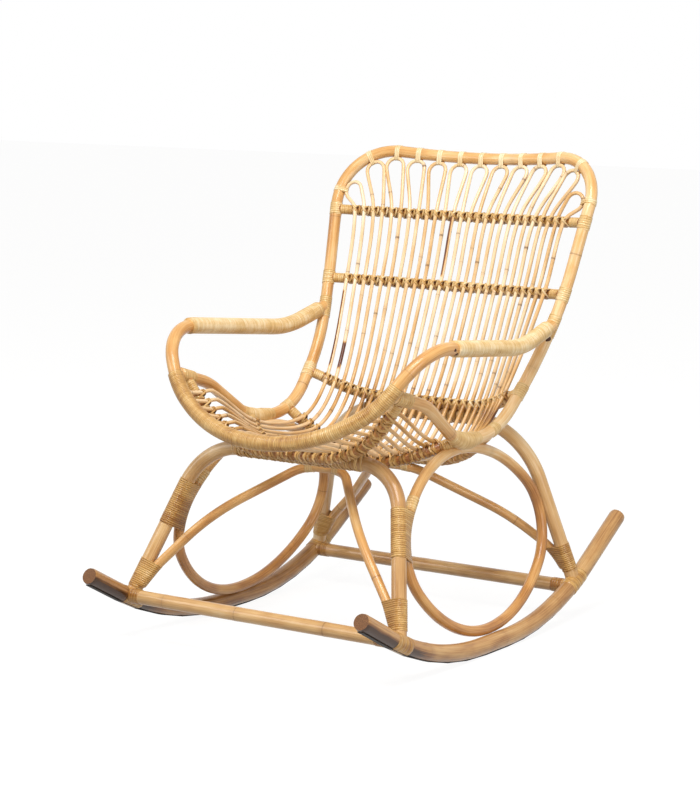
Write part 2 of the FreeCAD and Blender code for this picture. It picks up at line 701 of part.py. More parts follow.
def smooth(places, chords):
    """Points along a smooth curve through some places, in so many chords between each two."""
    rounded = [places[0]]
    for number, count in enumerate(chords):
        start, end = places[number], places[number + 1]
        before = places[max(number - 1, 0)]
        after = places[min(number + 2, len(places) - 1)]
        span = (end - start).Length
        leave = (end - before) * (span / ((end - start).Length + (start - before).Length))
        arrive = (after - start) * (span / ((after - end).Length + span))
        for step in range(1, count + 1):
            t = step / count
            rounded.append(
                start * (2 * t**3 - 3 * t**2 + 1)
                + leave * (t**3 - 2 * t**2 + t)
                + end * (3 * t**2 - 2 * t**3)
                + arrive * (t**3 - t**2)
            )
    return rounded


def crown(one, other, from_end):
    """The round top of a hairpin: most touch the top of the back frame, the end ones a post."""
    middle = (one + other) * 0.5
    side = math.copysign(1, middle.x)
    crown_bend = radius("crown_diameter")
    reach = stacked("frame_diameter", "cane_diameter") + crown_bend
    if from_end == 0:
        rail_end = back_frame.where("z", size("upper_rail_height"), 0, top_start)
        post = back_frame.at(rail_end + size("end_loop_rise"))[0]
        centre = point(side * (post.x - reach), post.y, post.z)
        sideways = ACROSS
    else:
        tie = back_frame.length / 2 - size("crown_fan") * middle.x
        if from_end == 1:
            tie -= side * size("corner_loop_shift")
        place, sideways = back_frame.at(tie)
        sideways = sideways * -1
        down = middle - place
        centre = place + (down - sideways * down.dot(sideways)).normalize() * reach
    rise = centre - middle
    rise = (rise - sideways * rise.dot(sideways)).normalize()
    angles = []
    for leg, hand in ((one, 1), (other, -1)):
        away = leg - centre
        from_side = math.atan2(away.dot(rise), hand * away.dot(sideways))
        angles.append(from_side + math.acos(min(1, crown_bend / away.Length)))
    return arc_points(centre, sideways, rise, crown_bend, angles[0], math.pi - angles[1], CROWN_SAG)


spread = size("cane_spread")
shares = [spread * (1 - 2 * number / (CANE_COUNT - 1)) for number in range(CANE_COUNT)]
loop_count = CANE_COUNT // 2
for number in range(loop_count):
    down = cane_leg(shares[2 * number])
    up = cane_leg(shares[2 * number + 1])
    from_end = min(number, loop_count - 1 - number)
    route = down + crown(down[-1], up[-1], from_end) + up[::-1]
    hairpin = Path(edges=runs_through(route))
    pole(f"cane_loop_{number + 1:02d}", hairpin, "Sizes.cane_diameter / 2", CANE_SIDES)

# Peel wound on the arms and the front rim


def sleeve(name, path):
    """A close wrap of peel on a stretch of the arm pole."""
    inner = f"(Sizes.arm_pole_diameter / 2 + Sizes.fit_gap) / cos(180 deg / {ROUND_SIDES})"
    outer = inner + " + Sizes.wrap_thickness"
    solid = pole(f"{name}_solid", path, outer, ROUND_SIDES, piece=False)
    hollow = pole(f"{name}_hollow", path, inner, ROUND_SIDES, piece=False)
    cut = doc.addObject("Part::Cut", name)
    cut.Base = solid
    cut.Tool = hollow
    pieces.append(cut)


wrap_start = on_rim(size("rim_wrap_height"))
sleeve("front_rim_wrap", arm_pole.between(wrap_start, arm_pole.length - wrap_start))
arm_wrap_front = arm_pole.where("y", -size("arm_wrap_start"), 0, arm_pole.length / 3)
arm_wrap_rear = size("frame_diameter")
sleeve("left_arm_wrap", arm_pole.between(arm_wrap_rear, arm_wrap_front))
far_end = arm_pole.length
sleeve("right_arm_wrap", arm_pole.between(far_end - arm_wrap_front, far_end - arm_wrap_rear))

# Peel that binds a leg to the pole beside it


def left_half(path):
    """The half of a symmetric path that lies on the left of the chair."""
    return path, 0, path.length / 2


def binding_oval(legs, beside, beside_radius, height):
    """The centre and the two half axes of an oval round a leg and the pole beside it."""
    leg, along = place_at(left_half(legs), height)
    inward = place_at(beside, height)[0] - leg
    inward = inward - along * inward.dot(along)
    apart = inward.Length
    inward.normalize()
    clear = size("fit_gap") + size("peel_thickness") / 2
    leg_radius = radius("leg_diameter")
    long_half = inward * ((apart + leg_radius + beside_radius) / 2 + clear)
    short_half = along.cross(inward) * ((leg_radius + clear) * size("binding_swell"))
    return leg + inward * ((apart + beside_radius - leg_radius) / 2), long_half, short_half


def place_at(stretch, height):
    """The point and direction of a stretch of a path at a height."""
    path, start, end = stretch
    return path.at(path.where("z", height, start, end))


def tapered_block(rings):
    """A solid with flat sides between rings of points that differ in place and scale alone."""
    faces = [Part.Face(Part.makePolygon(ring + ring[:1])) for ring in (rings[0], rings[-1])]
    for lower, upper in zip(rings, rings[1:]):
        for number in range(len(lower)):
            side = [lower[number - 1], lower[number], upper[number], upper[number - 1], lower[number - 1]]
            faces.append(Part.Face(Part.makePolygon(side)))
    block = Part.Solid(Part.Shell(faces))
    if block.Volume < 0:
        block.reverse()
    return block


def binding(name, legs, beside, heights, clearances, mirror):
    """A close sleeve round a leg and the pole beside it, cut out for the two."""
    stretch, beside_radius = beside
    first_long, first_short = binding_oval(legs, stretch, beside_radius, heights[0])[1:]
    angles = [2 * math.pi * side / BINDING_SIDES for side in range(BINDING_SIDES)]
    rings = []
    for height in heights:
        centre, long_half, _ = binding_oval(legs, stretch, beside_radius, height)
        scale = (long_half.Length + size("peel_thickness") / 2) / first_long.Length
        spokes = [first_long * math.cos(angle) + first_short * math.sin(angle) for angle in angles]
        ring = [centre + spoke * scale for spoke in spokes]
        rings.append([mirrored(place) for place in ring] if mirror else ring)
    shaped = doc.addObject("Part::Feature", name + "_solid")
    shaped.Shape = tapered_block(rings)
    for number, tool in enumerate(clearances, start=1):
        cut = doc.addObject("Part::Cut", f"{name}_cut_{number}")
        cut.Base = shaped
        cut.Tool = tool
        shaped = cut
    shaped.Label = name
    pieces.append(shaped)


def clearance(name, path, diameter, sides):
    """A pole grown by the fit gap, to cut its room out of a binding."""
    return pole(f"{name}_clearance", path, f"Sizes.{diameter} / 2 + Sizes.fit_gap", sides, piece=False)


foot_low = size("foot_binding_height")
foot_high = foot_low + size("foot_binding_length")
hoop_low = size("hoop_binding_height")
hoop_high = hoop_low + size("hoop_binding_length")
hoop_heights = [hoop_low, (hoop_low + hoop_high) / 2, hoop_high]
leg_rooms = {}
for place, legs, brace in (("front", front_legs, front_brace), ("rear", rear_legs, rear_brace)):
    leg_rooms[place] = clearance(f"{place}_leg", legs, "leg_diameter", ROUND_SIDES)
    rooms = [leg_rooms[place], clearance(f"{place}_brace", brace, "brace_diameter", SLIM_SIDES)]
    beside = (left_half(brace), radius("brace_diameter"))
    for side, mirror in (("left", False), ("right", True)):
        binding(f"{place}_{side}_foot_binding", legs, beside, [foot_low, foot_high], rooms, mirror)
beside = (left_half(left_hoop), radius("hoop_diameter"))
for side, hoop, mirror in (("left", left_hoop, False), ("right", right_hoop, True)):
    rooms = [leg_rooms["front"], clearance(f"{side}_hoop", hoop, "hoop_diameter", SLIM_SIDES)]
    binding(f"{side}_hoop_binding", front_legs, beside, hoop_heights, rooms, mirror)

doc.recompute()
faults = []
for item in doc.Objects:
    if {"Invalid", "Error"} & set(item.State):
        faults.append(f"{item.Label}: {item.State}")
for piece in pieces:
    if piece.Shape.isNull() or not piece.Shape.isValid():
        faults.append(f"{piece.Label}: no valid shape")
if faults:
    raise RuntimeError("; ".join(faults))
os.makedirs("parts", exist_ok=True)
for piece in pieces:
    piece.Shape.exportStep(f"parts/{piece.Label}.step")
print(len(pieces), "pieces written")
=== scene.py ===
import bisect
import math
import random

import bpy
from mathutils import Matrix, Vector


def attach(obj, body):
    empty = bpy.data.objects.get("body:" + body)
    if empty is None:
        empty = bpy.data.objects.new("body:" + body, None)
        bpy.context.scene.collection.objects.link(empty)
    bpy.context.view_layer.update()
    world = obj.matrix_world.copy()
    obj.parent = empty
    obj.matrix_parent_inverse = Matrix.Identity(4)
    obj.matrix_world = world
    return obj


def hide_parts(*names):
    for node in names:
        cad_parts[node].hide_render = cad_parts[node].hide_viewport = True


# Rattan rocking chair: smooth poles with node rings, thin canes, wound peel and lashings, set on
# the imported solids. X is to the sitter's left, Y to the rear, Z up. Sizes below are millimetres.

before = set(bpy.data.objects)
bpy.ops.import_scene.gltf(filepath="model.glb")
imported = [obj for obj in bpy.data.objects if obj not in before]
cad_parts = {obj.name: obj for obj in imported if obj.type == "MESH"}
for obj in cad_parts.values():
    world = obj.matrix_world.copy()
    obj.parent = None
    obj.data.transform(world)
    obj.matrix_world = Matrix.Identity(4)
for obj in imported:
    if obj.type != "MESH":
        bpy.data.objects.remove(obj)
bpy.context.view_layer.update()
draw = random.Random(11)

SIZES = {
    "fit_gap": 0.25,
    "rocker_diameter": 32,
    "rocker_spread": 600,
    "rocker_height": 17.07,
    "rocker_front_reach": 411,
    "rocker_front_rise": 123,
    "rocker_front_turn": 183,
    "rocker_rear_reach": 470,
    "rocker_rear_rise": 158,
    "rocker_rear_turn": 215,
    "rocker_front_bend": 640,
    "rocker_rear_bend": 560,
    "leg_diameter": 27,
    "front_foot_place": 296,
    "front_arch_place": 174,
    "front_arch_height": 358,
    "front_arch_half_width": 216,
    "front_arch_bend": 105,
    "rear_foot_place": 302,
    "rear_arch_place": 245,
    "rear_arch_height": 382,
    "rear_arch_half_width": 212,
    "rear_arch_bend": 150,
    "stretcher_diameter": 26,
    "front_stretcher_place": 309,
    "rear_stretcher_place": 287,
    "brace_diameter": 17.5,
    "brace_foot_height": 104,
    "brace_top_half_width": 45,
    "brace_top_bend": 60,
    "brace_knee_bend": 300,
    "brace_ankle_height": 142,
    "brace_ankle_bend": 150,
    "front_brace_top_place": 97,
    "front_brace_top_height": 323,
    "front_brace_knee_half_width": 165,
    "front_brace_knee_place": 225,
    "front_brace_knee_height": 239,
    "rear_brace_top_place": 129,
    "rear_brace_top_height": 296,
    "rear_brace_knee_half_width": 181,
    "rear_brace_knee_place": 255,
    "rear_brace_knee_height": 199,
    "hoop_diameter": 20,
    "hoop_end_bend": 112,
    "hoop_place": 12,
    "hoop_front_reach": 218.25,
    "hoop_rear_reach": 240.8,
    "frame_diameter": 23,
    "seat_side_height": 381,
    "seat_side_half_width": 235,
    "splice_place": 55,
    "seat_side_dip_place": 11,
    "seat_side_shoulder_half_width": 244,
    "seat_side_shoulder_place": 129,
    "seat_side_shoulder_height": 465,
    "seat_side_front_height": 496,
    "seat_side_bend": 120,
    "post_foot_place": 123,
    "post_foot_bend": 150,
    "post_lower_half_width": 249,
    "post_lower_place": 236,
    "post_lower_height": 498,
    "post_lower_bend": 450,
    "post_upper_half_width": 271,
    "post_upper_place": 297,
    "post_upper_height": 613,
    "post_upper_bend": 700,
    "post_roll_half_width": 289,
    "post_roll_place": 352,
    "post_roll_height": 772,
    "post_roll_bend": 150,
    "top_corner_half_width": 292,
    "top_corner_place": 409,
    "top_corner_height": 880,
    "top_corner_bend": 122,
    "top_dip_place": 460,
    "top_dip_height": 854,
    "top_dip_bend": 900,
    "arm_pole_diameter": 24,
    "arm_joint_height": 569,
    "arm_dip_half_width": 268,
    "arm_dip_place": 153,
    "arm_dip_height": 538.5,
    "arm_dip_bend": 250,
    "arm_front_half_width": 288,
    "arm_front_place": 197,
    "arm_front_height": 577,
    "arm_front_bend": 100,
    "rim_side_half_width": 225,
    "rim_side_place": 244,
    "rim_side_height": 473,
    "rim_side_bend": 200,
    "rim_floor_half_width": 103,
    "rim_floor_place": 294,
    "rim_floor_height": 398.5,
    "rim_floor_bend": 300,
    "rail_diameter": 18,
    "upper_rail_height": 756,
    "middle_rail_height": 623,
    "lower_rail_height": 450,
    "back_rail_bow": 48,
    "back_rail_dip": 6,
    "back_rail_bend": 900,
    "rear_seat_rail_place": 108,
    "middle_seat_rail_place": 12,
    "front_seat_rail_place": 200,
    "lower_rail_setoff": 7,
    "front_rail_setoff": 1.2,
    "seat_rail_half_floor": 150,
    "seat_rail_bend": 175,
    "cane_diameter": 7.5,
    "crown_diameter": 36,
    "corner_loop_shift": 14,
    "end_loop_rise": 41,
    "wrap_thickness": 2.2,
    "foot_binding_height": 97,
    "foot_binding_length": 50,
    "hoop_binding_height": 212,
    "hoop_binding_length": 80,
    "arm_wrap_start": 100,
    "rim_wrap_height": 512,
}
CANE_COUNT = 26
CANE_SPREAD = 0.85
CROWN_FAN = 1.22
HOOP_FOOT_LEAN = math.radians(30)
HOOP_HEAD_LEAN = math.radians(40)
SKIVED = 0.45
# The two leg arches, with the sign of their places along Y
ARCHES = {"front": -1, "rear": 1}
UP = Vector((0, 0, 1))
ACROSS = Vector((1, 0, 0))
TO_SITTER = Vector((0, -1, 1))


def size(name):
    return SIZES[name] / 1000


def radius(name):
    return size(name) / 2


def mirrored(place):
    return Vector((-place.x, place.y, place.z))


def symmetric(corners):
    """The corners of a pole's left half, then their mirror images."""
    other = [(mirrored(place), bend) for place, bend in reversed(corners)]
    if abs(corners[-1][0].x) < 1e-6:
        other = other[1:]
    return corners + other


# Centre lines

POINT_GAP = 0.005
BEND_ROOM = 0.98


class Line:
    """A centre line through points that lie a few millimetres apart."""

    def __init__(self, points):
        self.points = [points[0]]
        for place in points[1:]:
            last = self.points[-1]
            count = math.ceil((place - last).length / POINT_GAP)
            self.points += [last.lerp(place, (step + 1) / count) for step in range(count)]
        self.marks = [0.0]
        runs = []
        for one, other in zip(self.points, self.points[1:]):
            self.marks.append(self.marks[-1] + (other - one).length)
            runs.append((other - one).normalized())
        self.length = self.marks[-1]
        turns = [(one + other).normalized() for one, other in zip(runs, runs[1:])]
        self.courses = [runs[0]] + turns + [runs[-1]]

    def at(self, distance):
        """The point and the direction at a distance along the line."""
        distance = min(max(distance, 0), self.length)
        number = min(bisect.bisect_right(self.marks, distance) - 1, len(self.points) - 2)
        share = (distance - self.marks[number]) / (self.marks[number + 1] - self.marks[number])
        place = self.points[number].lerp(self.points[number + 1], share)
        return place, self.courses[number].lerp(self.courses[number + 1], share).normalized()

    def share(self, part):
        """The point and direction at a share of the half length: 1 is the left end, -1 the right."""
        return self.at(self.length * (1 - part) / 2)

    def where(self, axis, value, start=0, end=None):
        """The distance along the line where one coordinate takes a value between two distances."""
        low, high = start, self.length if end is None else end
        rising = getattr(self.at(high)[0], axis) > getattr(self.at(low)[0], axis)
        for _ in range(50):
            middle = (low + high) / 2
            if (getattr(self.at(middle)[0], axis) < value) == rising:
                low = middle
            else:
                high = middle
        return low

    def between(self, start, end):
        """The stretch of the line between two distances."""
        inside = [place for mark, place in zip(self.marks, self.points) if start < mark < end]
        return Line([self.at(start)[0]] + inside + [self.at(end)[0]])

    def in_plane(self, place, course):
        """The point where the line passes through a plane, the nearest one to a place."""
        found = None
        for one, other in zip(self.points, self.points[1:]):
            before = (one - place).dot(course)
            after = (other - place).dot(course)
            if before * after <= 0 and before != after:
                hit = one.lerp(other, before / (before - after))
                if found is None or (hit - place).length < (found - place).length:
                    found = hit
        return found


def arc_points(centre, first, second, bend, start, end, step):
    count = max(2, math.ceil((end - start) * bend / step))
    angles = [start + (end - start) * number / count for number in range(count + 1)]
    return [centre + (first * math.cos(angle) + second * math.sin(angle)) * bend for angle in angles]


def bent(corners):
    """A line through corners, each rounded by its bend radius or by as much of it as there is room for."""
    backs = [0.0] * len(corners)
    insides = [None] * len(corners)
    for number in range(1, len(corners) - 1):
        place, bend = corners[number]
        to_last = (corners[number - 1][0] - place).normalized()
        to_next = (corners[number + 1][0] - place).normalized()
        half_angle = to_last.angle(to_next) / 2
        backs[number] = bend / math.tan(half_angle)
        insides[number] = (to_last, (to_last + to_next).normalized(), half_angle)
    limits = [1.0] * len(corners)
    for number in range(len(corners) - 1):
        run = (corners[number + 1][0] - corners[number][0]).length
        taken = backs[number] + backs[number + 1]
        fit = min(1.0, BEND_ROOM * run / taken) if taken else 1.0
        limits[number] = min(limits[number], fit)
        limits[number + 1] = min(limits[number + 1], fit)
    route = [corners[0][0]]
    for number in range(1, len(corners) - 1):
        to_last, inside, half_angle = insides[number]
        bend = backs[number] * limits[number] * math.tan(half_angle)
        centre = corners[number][0] + inside * (bend / math.sin(half_angle))
        outward = to_last.cross(inside).cross(to_last).normalized() * -1
        route += arc_points(centre, outward, to_last * -1, bend, 0, math.pi - 2 * half_angle, POINT_GAP)
    return Line(route + [corners[-1][0]])


def rocker_line(half_spread):
    height = size("rocker_height")
    front = (-size("rocker_front_reach"), height + size("rocker_front_rise"))
    rear = (size("rocker_rear_reach"), height + size("rocker_rear_rise"))
    return bent([
        (Vector((half_spread, *front)), 0),
        (Vector((half_spread, -size("rocker_front_turn"), height)), size("rocker_front_bend")),
        (Vector((half_spread, size("rocker_rear_turn"), height)), size("rocker_rear_bend")),
        (Vector((half_spread, *rear)), 0),
    ])


half_spread = size("rocker_spread") / 2
rockers = {"left": rocker_line(half_spread), "right": rocker_line(-half_spread)}


def on_rocker(rocker, place):
    return rocker.at(rocker.where("y", place))


def corner(name, rearward=1):
    return Vector((size(f"{name}_half_width"), rearward * size(f"{name}_place"), size(f"{name}_height")))


def bent_corner(name, rearward=1):
    return corner(name, rearward), size(f"{name}_bend")


def legs_line(arch, rearward):
    foot = on_rocker(rockers["left"], rearward * size(f"{arch}_foot_place"))[0]
    return bent(symmetric([(foot, 0), bent_corner(f"{arch}_arch", rearward)]))


legs = {arch: legs_line(arch, rearward) for arch, rearward in ARCHES.items()}


def brace_line(arch, rearward):
    path = legs[arch]
    foot, along = path.at(path.where("z", size("brace_foot_height"), 0, path.length / 2))
    ankle = path.at(path.where("z", size("brace_ankle_height"), 0, path.length / 2))[0]
    inward = (along * along.x - ACROSS).normalized()
    beside = inward * (radius("leg_diameter") + radius("brace_diameter") + size("fit_gap"))
    top = Vector((
        size("brace_top_half_width"),
        rearward * size(f"{arch}_brace_top_place"),
        size(f"{arch}_brace_top_height"),
    ))
    return bent(symmetric([
        (foot + beside * SKIVED, 0),
        (ankle + beside, size("brace_ankle_bend")),
        (corner(f"{arch}_brace_knee", rearward), size("brace_knee_bend")),
        (top, size("brace_top_bend")),
    ]))


braces = {arch: brace_line(arch, rearward) for arch, rearward in ARCHES.items()}


seat_side_x = size("seat_side_half_width")
seat_side_z = size("seat_side_height")
splice = Vector((seat_side_x, size("splice_place"), seat_side_z))
back_frame = bent(symmetric([
    (splice, 0),
    (Vector((seat_side_x, size("post_foot_place"), seat_side_z)), size("post_foot_bend")),
    bent_corner("post_lower"),
    bent_corner("post_upper"),
    bent_corner("post_roll"),
    bent_corner("top_corner"),
    (Vector((0, size("top_dip_place"), size("top_dip_height"))), size("top_dip_bend")),
]))
top_start = back_frame.where("z", size("post_roll_height"), 0, back_frame.length / 3)
rear_joint = back_frame.where("y", size("rear_seat_rail_place"), 0, top_start)


def post_distance(height):
    """The distance along the back frame where the left post is at a height."""
    return back_frame.where("z", height, 0, top_start)


arm_end = back_frame.at(post_distance(size("arm_joint_height")))[0]
arm_pole = bent(symmetric([
    (arm_end, 0),
    bent_corner("arm_dip"),
    bent_corner("arm_front", -1),
    bent_corner("rim_side", -1),
    bent_corner("rim_floor", -1),
]))
arm_front_start = arm_pole.where("y", corner("arm_front", -1).y / 2, 0, arm_pole.length / 2)


def on_rim(height):
    """The distance along the arm pole where the rim's left side is at a height."""
    return arm_pole.where("z", height, arm_front_start, arm_pole.length / 2)


seat_side_corners = [
    (splice, 0),
    (Vector((seat_side_x, -size("seat_side_dip_place"), seat_side_z)), size("seat_side_bend")),
    (corner("seat_side_shoulder", -1), size("seat_side_bend")),
    (arm_pole.at(on_rim(size("seat_side_front_height")))[0], 0),
]
seat_sides = {
    "left": bent(seat_side_corners),
    "right": bent([(mirrored(place), bend) for place, bend in seat_side_corners]),
}


def stacked(lower, upper):
    return radius(lower) + radius(upper) + size("fit_gap")


def sagging(end, floor):
    return bent(symmetric([(end, 0), (floor, size("seat_rail_bend"))]))


def straight_across(end):
    return Line([end, mirrored(end)])


def bowed(end):
    """A back rail that bows to the rear and dips between its two ends."""
    turn = Vector((0, end.y + 2 * size("back_rail_bow"), end.z - 2 * size("back_rail_dip")))
    return bent(symmetric([(end, 0), (turn, size("back_rail_bend"))]))


floor_x = size("seat_rail_half_floor")
rest = stacked("leg_diameter", "rail_diameter")
forward = size("lower_rail_setoff")
on_brace = stacked("brace_diameter", "rail_diameter")
flush = radius("leg_diameter") - radius("rail_diameter")
in_front = math.sqrt((rest + size("front_rail_setoff")) ** 2 - flush**2)
lower_rise = math.sqrt(rest**2 - forward**2)
side_line = seat_sides["left"]
rails = {
    "upper_back_rail": bowed(back_frame.at(post_distance(size("upper_rail_height")))[0]),
    "middle_back_rail": bowed(back_frame.at(post_distance(size("middle_rail_height")))[0]),
    "lower_back_rail": sagging(
        back_frame.at(post_distance(size("lower_rail_height")))[0],
        Vector((floor_x, size("rear_arch_place") - forward, size("rear_arch_height") + lower_rise)),
    ),
    "rear_seat_rail": sagging(
        back_frame.at(rear_joint)[0],
        Vector((floor_x, size("rear_brace_top_place"), size("rear_brace_top_height") + on_brace)),
    ),
    "middle_seat_rail": sagging(
        side_line.at(side_line.where("y", -size("middle_seat_rail_place")))[0],
        Vector((floor_x, -size("front_brace_top_place"), size("front_brace_top_height") + on_brace)),
    ),
    "front_seat_rail": sagging(
        side_line.at(side_line.where("y", -size("front_seat_rail_place")))[0],
        Vector((floor_x, -size("front_arch_place") - in_front, size("front_arch_height") + flush)),
    ),
}


def half_oval(centre, forth, upward, reach, rise, end_bend):
    """Half of an oval, from its top round its end to its bottom, on three tangent arcs."""
    side_bend = ((reach - end_bend) ** 2 + rise**2 - end_bend**2) / (2 * (rise - end_bend))
    side_drop = upward * (rise - side_bend)
    end_centre = centre + forth * (reach - end_bend)
    meeting = math.atan2(reach - end_bend, side_bend - rise)
    top = arc_points(centre + side_drop, upward, forth, side_bend, 0, meeting, POINT_GAP)
    end = arc_points(end_centre, upward, forth, end_bend, meeting, math.pi - meeting, POINT_GAP)
    bottom = arc_points(centre - side_drop, upward, forth, side_bend, math.pi - meeting, math.pi, POINT_GAP)
    return top + end[1:-1] + bottom


def hoop_line():
    """An oval ring that rests on the left rocker and touches both legs and the seat side."""
    on_floor = on_rocker(rockers["left"], size("hoop_place"))[0]
    under_seat = side_line.at(side_line.where("y", size("hoop_place")))[0]
    low_gap = stacked("rocker_diameter", "hoop_diameter")
    high_gap = stacked("frame_diameter", "hoop_diameter")
    bottom = on_floor + Vector((-math.sin(HOOP_FOOT_LEAN), 0, math.cos(HOOP_FOOT_LEAN))) * low_gap
    top = under_seat + Vector((-math.sin(HOOP_HEAD_LEAN), 0, -math.cos(HOOP_HEAD_LEAN))) * high_gap
    middle = (bottom + top) / 2
    upward = (top - bottom).normalized()
    rise = (top - bottom).length / 2
    bend = size("hoop_end_bend")
    front = half_oval(middle, Vector((0, -1, 0)), upward, size("hoop_front_reach"), rise, bend)
    rear = half_oval(middle, Vector((0, 1, 0)), upward, size("hoop_rear_reach"), rise, bend)
    return Line(front + rear[-2::-1])


left_hoop = hoop_line()
hoops = {"left": left_hoop, "right": Line([mirrored(place) for place in left_hoop.points])}

# Canes: each hairpin hangs from the top of the back and runs down over the rails to the front rim

cane_reach = radius("cane_diameter") + size("fit_gap")
rim_start = on_rim(size("seat_side_front_height"))
rim = arm_pole.between(rim_start, arm_pole.length - rim_start)
in_rim = -0.5 * radius("arm_pole_diameter")
over_rail = radius("rail_diameter") + cane_reach
RAIL_ORDER = (
    "front_seat_rail",
    "middle_seat_rail",
    "rear_seat_rail",
    "lower_back_rail",
    "middle_back_rail",
    "upper_back_rail",
)
BAR_CLEARANCE = 0.004
CROWN_GAP = 0.006
crossings = {name: [] for name in RAIL_ORDER}
bar_crossings = []


def cane_touches(share):
    """Where one leg of a hairpin ends in the rim, and lies on the front arch's bar and on each rail."""
    lines = [rim.share(share)] + [rails[name].share(share) for name in RAIL_ORDER]
    offsets = [in_rim] + [over_rail] * len(RAIL_ORDER)
    touches = []
    for number, (place, along) in enumerate(lines):
        before = lines[max(number - 1, 0)][0]
        after = lines[min(number + 1, len(lines) - 1)][0]
        out = along.cross(after - before).normalized()
        if out.dot(TO_SITTER) < 0:
            out = out * -1
        touches.append(place + out * offsets[number])
        if number:
            crossings[RAIL_ORDER[number - 1]].append((place, along, out))
    over_bar = touches[1] + Vector((0, in_front + BAR_CLEARANCE, 0))
    bar_crossings.append(over_bar)
    return touches[:2] + [over_bar] + touches[2:]


def smooth(places, gap=0.012):
    """Points along a smooth curve through some places."""
    rounded = [places[0]]
    for number in range(len(places) - 1):
        start, end = places[number], places[number + 1]
        before = places[max(number - 1, 0)]
        after = places[min(number + 2, len(places) - 1)]
        span = (end - start).length
        leave = (end - before) * (span / (span + (start - before).length))
        arrive = (after - start) * (span / ((after - end).length + span))
        count = max(2, round(span / gap))
        for step in range(1, count + 1):
            t = step / count
            rounded.append(
                start * (2 * t**3 - 3 * t**2 + 1)
                + leave * (t**3 - 2 * t**2 + t)
                + end * (3 * t**2 - 2 * t**3)
                + arrive * (t**3 - t**2)
            )
    return rounded


def crown(one, other, from_end):
    """The round top of a hairpin, and where it is tied along the back frame."""
    middle = (one + other) / 2
    side = math.copysign(1, middle.x)
    crown_bend = radius("crown_diameter")
    reach = stacked("frame_diameter", "cane_diameter") + crown_bend
    if from_end == 0:
        tie = post_distance(size("upper_rail_height")) + size("end_loop_rise")
        post = back_frame.at(tie)[0]
        centre = Vector((side * (post.x - reach), post.y, post.z))
        sideways = ACROSS
        tie = tie if side > 0 else back_frame.length - tie
    else:
        tie = back_frame.length / 2 - CROWN_FAN * middle.x
        if from_end == 1:
            tie -= side * size("corner_loop_shift")
        place, along = back_frame.at(tie)
        sideways = -along
        down = middle - place
        centre = place + (down - sideways * down.dot(sideways)).normalized() * reach
    rise = centre - middle
    rise = (rise - sideways * rise.dot(sideways)).normalized()
    angles = []
    for leg, hand in ((one, 1), (other, -1)):
        away = leg - centre
        from_side = math.atan2(away.dot(rise), hand * away.dot(sideways))
        angles.append(from_side + math.acos(min(1, crown_bend / away.length)))
    return arc_points(centre, sideways, rise, crown_bend, angles[0], math.pi - angles[1], CROWN_GAP), tie


shares = [CANE_SPREAD * (1 - 2 * number / (CANE_COUNT - 1)) for number in range(CANE_COUNT)]
hairpins = []
for number in range(CANE_COUNT // 2):
    down = cane_touches(shares[2 * number])
    up = cane_touches(shares[2 * number + 1])
    from_end = min(number, CANE_COUNT // 2 - 1 - number)
    top, tie = crown(down[-1], up[-1], from_end)
    hairpins.append((Line(smooth(down + top + up[::-1])), tie))

# Materials


def linear(code):
    """A linear colour from an sRGB hex value."""
    channels = [int(code[place:place + 2], 16) / 255 for place in (1, 3, 5)]
    return [c / 12.92 if c <= 0.04045 else ((c + 0.055) / 1.055) ** 2.4 for c in channels] + [1.0]


def feed(tree, node, inputs):
    """Set a node's inputs, or link them to other nodes."""
    for name, value in inputs.items():
        if isinstance(value, bpy.types.NodeSocket):
            tree.links.new(value, node.inputs[name])
        else:
            node.inputs[name].default_value = value


def add(tree, kind, settings=None, inputs=None):
    """Add a node with its settings, the hex colours at the stops of its ramp, and its inputs."""
    node = tree.nodes.new("ShaderNode" + kind)
    for name, value in (settings or {}).items():
        if name != "stops":
            setattr(node, name, value)
            continue
        elements = node.color_ramp.elements
        while len(elements) < len(value):
            elements.new(0.5)
        for element, (place, code) in zip(elements, value):
            element.position = place
            element.color = linear(code)
    feed(tree, node, inputs or {})
    return node


def shading(name):
    made = bpy.data.materials.new(name)
    made.use_nodes = True
    return made, made.node_tree, made.node_tree.nodes["Principled BSDF"]


# Patches of tone are about 70 mm long and 22 mm wide
PATCH_SCALE = (14, 45, 45)
STREAK_SHARE = 0.55
PATCH_SHARE = 0.6
RAGGED_RING = 0.0016
HALO_REACH = 0.016
# Painted shade in the grooves between turns of peel and on the thin edges of straps
GROOVE_SHADE_COLOUR = "#683c14"


